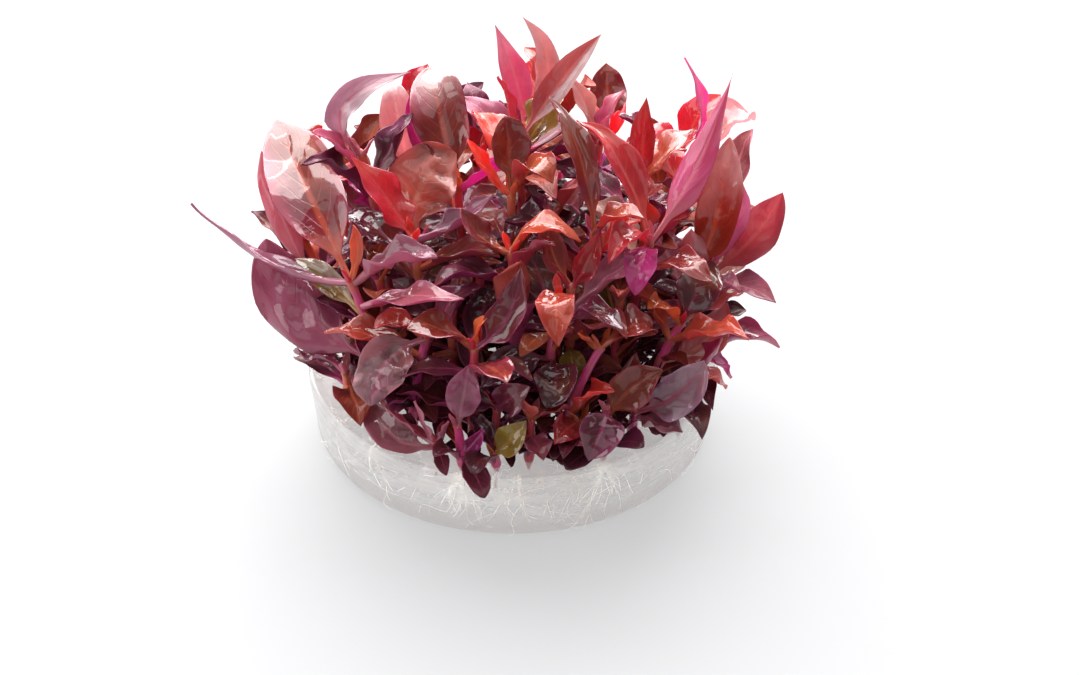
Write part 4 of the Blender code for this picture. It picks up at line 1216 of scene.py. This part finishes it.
# The gel's colours darken towards its foot, as painted shade.
foot_shade = ramp(split(place)[2], 0.0, 0.0075, 1.0, 0.0)
haze_colour = blend(ramp(streaks, 0.36, 0.62), (0.62, 0.585, 0.555, 1), (0.985, 0.97, 0.95, 1))
haze_colour = blend(foot_shade * 0.80, haze_colour, (0.38, 0.320, 0.300, 1))
haze = add("ShaderNodeBsdfPrincipled",
           {"Base Color": haze_colour, "Roughness": 0.25, "IOR": 1.335, "Normal": relief})
feed(shader.node, {
    "Base Color": blend(foot_shade, (0.985, 0.975, 0.96, 1), (0.80, 0.75, 0.73, 1)),
    "Roughness": 0.06, "IOR": 1.335, "Transmission Weight": 1.0, "Normal": relief,
})
inner_colour = blend(foot_shade, (0.93, 0.925, 0.91, 1), (0.62, 0.56, 0.54, 1))
milk = mix(0.45, haze, glow_through(inner_colour))
through = add("ShaderNodeBsdfTransparent", {"Color": (0.80, 0.795, 0.785, 1)})
show(mix(add("ShaderNodeLightPath", out="Is Shadow Ray"), mix(0.30, shader, milk), through))
gel.data.materials.append(clear_gel)
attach(gel, "root")
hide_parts("gel_cake")

# %% [markdown]
# ## Roots and bubbles in the gel
# White roots as fine as hair leave each stem and wander through the gel, thickest along
# the front wall. They are too fine for solids. A tree grows them: a straight line is
# placed at each starting point, bent by noise, kept inside the gel and given a section.

# %% The root tree
root_tree, source = open_group("Grow roots", {
    "Geometry": None, "Steps": 18, "Thickness": 0.000055, "Wander": 0.0062, "Keep Inside": 0.0319,
    "Wall Lean": 0.08, "Lowest": 0.0007, "Highest": 0.0122, "Root Material": None,
})


def soft_stop(value, limit, give):
    """value, which slows down over the last stretch before limit instead of stopping dead."""
    free = limit - give
    past = calc("MAXIMUM", value - free, 0.0) / give
    return calc("MULTIPLY_ADD", 1.0 - calc("EXPONENT", past * -1.0), give, calc("MINIMUM", value, free))


straight = add("GeometryNodeMeshLine", {"Count": source["Steps"], "Offset": (0, 0, 1)})
# The points of this line are one apart, so the height of a point is its number
number = split(add("GeometryNodeInputPosition"))[2]
strand = store(straight, "share", number / (source["Steps"] - 1.0))
strands = add("GeometryNodeInstanceOnPoints", {"Points": source["Geometry"], "Instance": strand})
strands = add("GeometryNodeRealizeInstances", {0: strands})
share = named("share")
start, aim = named("base", "FLOAT_VECTOR"), named("tip", "FLOAT_VECTOR")
straight_place = start + aim * share
drift = clouds(straight_place * 85.0 + aim * 900.0, 1.0, 0.0, out="Color")
drift = calc("SUBTRACT", drift, (0.5, 0.5, 0.5))
wandered = straight_place + drift * (source["Wander"] * 2.0 * calc("POWER", share, 0.8))
x, y, z = split(wandered)
flat = add("ShaderNodeCombineXYZ", {"X": x, "Y": y})
length = calc("LENGTH", flat, out="Value")
height_now = calc("MINIMUM", z, source["Highest"])
level_z = soft_stop(height_now * -1.0, source["Lowest"] * -1.0, 0.0020) * -1.0
wall = calc("MULTIPLY_ADD", level_z, source["Wall Lean"], source["Keep Inside"])
pull = soft_stop(length, wall, 0.0009) / length
inside = flat * pull + add("ShaderNodeCombineXYZ", {"Z": level_z})
moved = add("GeometryNodeSetPosition", {"Geometry": strands, "Position": inside})
thinning = ramp(share, 0.0, 1.0, 1.0, 0.35) * named("girth")
end_tree(sweep(moved, 4, source["Thickness"], thinning), (source["Root Material"], True))

# %% Pale root
pale_root, shader = open_material("pale root")
age = clouds(object_place(), 90.0)
root_colour = blend(ramp(age, 0.42, 0.72), (0.97, 0.965, 0.95, 1), (0.86, 0.80, 0.74, 1))
# The roots glow a little: painted light, so that they show white inside the gel.
feed(shader.node, {
    "Base Color": root_colour, "Roughness": 0.45,
    "Emission Color": (0.96, 0.95, 0.93, 1), "Emission Strength": 0.28,
})
show(mix(0.3, shader, glow_through(root_colour)))

# %% Where the roots start and which way they go
ROOTS_PER_SHOOT = 6
# Where roots press against the wall: bearing from the front, radius, number, spread
FRONT_TUFTS = ((-13.5, 31.2, 26, 0.40), (-4.0, 30.4, 6, 0.9), (2.0, 30.8, 9, 0.8), (8.5, 30.4, 6, 0.9),
               (16.0, 30.4, 4, 0.8), (25.7, 31.0, 28, 1.1), (-24.0, 30.4, 4, 0.7), (38.0, 30.4, 5, 0.8),
               (-42.0, 30.4, 4, 0.8))


def root_facts():
    rng = random.Random(41)
    for shoot, _ in itertools.product(SHOOTS, range(ROOTS_PER_SHOOT)):
        turn, fall = rng.uniform(0, FULL_TURN), rng.uniform(-0.1, 0.75)
        reach = rng.uniform(7, 17)
        start = Vector((*shoot.foot, GEL_HEIGHT - rng.uniform(1.5, ROOTING_DEPTH - 0.4)))
        aim = Vector((math.cos(turn), math.sin(turn), -fall)).normalized() * reach
        yield {"base": start * MM, "tip": aim * MM, "girth": 1.0}
    for degrees, radius, count, spread in FRONT_TUFTS:
        bearing = math.radians(degrees)
        out = Vector((math.sin(bearing), -math.cos(bearing), 0))
        around = toward(bearing)
        start = out * radius + Vector((0, 0, GEL_HEIGHT - 0.5))
        for _ in range(count):
            turn = rng.gauss(-math.pi / 2, spread)
            reach = rng.uniform(3, 9)
            aim = (around * math.cos(turn) + out * 0.6 + Vector((0, 0, math.sin(turn)))) * reach
            yield {"base": (start + around * rng.gauss(0, 0.5)) * MM, "tip": aim * MM,
                   "girth": rng.uniform(1.0, 2.3)}


roots = grow_mesh("roots", start_mesh("root_starts", list(root_facts())), root_tree,
                  {"Root Material": pale_root})
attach(roots, "root")
print("roots:", len(roots.data.polygons), "faces")

# %% [markdown]
# ## Air bubbles
# A few bubbles were caught when the gel set. A bubble is air inside a denser body, so its
# surface bends light the other way round: its own refractive index is the inverse of the
# gel's. Squashed balls on points are enough, because they are under a millimetre across.

# %% The bubble tree
bubble_tree, source = open_group("Scatter bubbles", {
    "Geometry": None, "Roundness": 2, "Bubble Material": None,
})
pearl = add("GeometryNodeMeshIcoSphere", {"Radius": 1.0, "Subdivisions": source["Roundness"]})
size = named("width")
flatter = add("ShaderNodeCombineXYZ", {"X": size, "Y": size, "Z": size * 0.7})
pearls = add("GeometryNodeInstanceOnPoints",
             {"Points": source["Geometry"], "Instance": pearl, "Scale": flatter})
pearls = add("GeometryNodeRealizeInstances", {0: pearls})
pearls = add("GeometryNodeSetShadeSmooth", {"Geometry": pearls})
end_tree(pearls, (source["Bubble Material"], True))

# %% Air in gel, and the bubbles
air, shader = open_material("air in gel")
skin_noise = clouds(object_place(), 2500.0)
feed(shader.node, {
    "Base Color": blend(skin_noise, (0.93, 0.93, 0.93, 1), (1, 1, 1, 1)),
    "Roughness": ramp(skin_noise, 0.3, 0.7, 0.02, 0.10), "Transmission Weight": 1.0, "IOR": 0.75,
})
# Bubbles close behind the front wall: x, height and size in mm
FRONT_BUBBLES = ((6.3, 7.8, 0.5), (-9.0, 4.2, 0.3), (12.0, 5.0, 0.28), (-20.0, 8.5, 0.34), (24.0, 7.0, 0.3))
FRONT_RADIUS = 31.3
INNER_BUBBLES = 26


def bubble_facts():
    rng = random.Random(12)
    for x, height, size in FRONT_BUBBLES:
        place = Vector((x, -math.sqrt(FRONT_RADIUS ** 2 - x * x), height))
        yield {"base": place * MM, "width": size * MM}
    for _ in range(INNER_BUBBLES):
        bearing, radius = rng.uniform(0, FULL_TURN), rng.uniform(20, 31)
        place = Vector((radius * math.cos(bearing), radius * math.sin(bearing), rng.uniform(1.5, 10.5)))
        yield {"base": place * MM, "width": rng.uniform(0.08, 0.26) * MM}


bubbles = grow_mesh("bubbles", start_mesh("bubble_places", list(bubble_facts())), bubble_tree,
                    {"Bubble Material": air})
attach(bubbles, "root")
print("bubbles:", len(bubbles.data.polygons), "faces")

# %% [markdown]
# ## Stage, light and camera
# The clump stands on a white table in front of nothing. Two large soft lights, one behind
# and one above it, put the broad white sheen on the wet leaves. A wide weak ceiling and
# two small fills open the shadows. The table is a little luminous, as a light table is,
# which keeps it white round a soft shadow. The camera looks down from the height of the
# photograph.

# %% The table
floor_data = bpy.data.meshes.new("floor")
floor_data.from_pydata([(-3, -3, 0), (3, -3, 0), (3, 3, 0), (-3, 3, 0)], [], [(0, 1, 2, 3)])
floor = put("floor", floor_data)
table_white, shader = open_material("white table")
feed(shader.node, {
    "Base Color": (0.110, 0.110, 0.112, 1), "Roughness": 0.7,
    "Emission Color": (0.985, 0.985, 1.0, 1), "Emission Strength": 0.50,
})
floor.data.materials.append(table_white)

# %% The light
AIM = Vector((4.3, 0.0, 15.7)) * MM


def face_plant(name, data, place):
    """A lamp or camera at this place, turned to the plant."""
    made = put(name, data)
    made.location = place
    made.rotation_euler = (AIM - made.location).to_track_quat("-Z", "Y").to_euler()
    return made


# Name, place and size in metres, power in watts
for name, place, size, power in (
    ("back_softbox", (-0.14, 0.80, 0.50), (1.60, 0.78), 38.0),
    ("overhead", (-0.05, 0.46, 0.95), (1.25, 0.46), 15.0),
    ("ceiling", (0.00, -0.10, 1.35), (2.00, 1.20), 12.0),
    ("left_side", (-0.90, -0.15, 0.40), (0.80, 0.60), 5.0),
    ("front_fill", (-0.20, -0.85, 0.62), (0.90, 0.60), 1.5),
):
    lamp = bpy.data.lights.new(name, "AREA")
    lamp.shape = "RECTANGLE"
    lamp.size, lamp.size_y = size
    lamp.energy = power
    face_plant(name, lamp, place)

# %% The white room: bright behind the clump, dimmer behind the camera
world = bpy.data.worlds.new("pale studio")
bpy.context.scene.world = world
world.use_nodes = True
Bench.tree = world.node_tree
behind = split(add("ShaderNodeTexCoord", out="Generated"))[1]
feed(world.node_tree.nodes["Background"], {
    "Color": (0.97, 0.98, 1.0, 1), "Strength": ramp(behind, -0.35, 0.75, 0.18, 1.0),
})
bpy.context.scene.view_settings.view_transform = "Standard"

# %% The camera
CAMERA_HEIGHT_ANGLE = math.radians(35.5)
CAMERA_DISTANCE = 0.480
lens = bpy.data.cameras.new("camera")
lens.lens = 100
lens.sensor_width = 36
lens.clip_start = 0.01
away = Vector((0, -math.cos(CAMERA_HEIGHT_ANGLE), math.sin(CAMERA_HEIGHT_ANGLE)))
bpy.context.scene.camera = face_plant("camera", lens, AIM + CAMERA_DISTANCE * away)
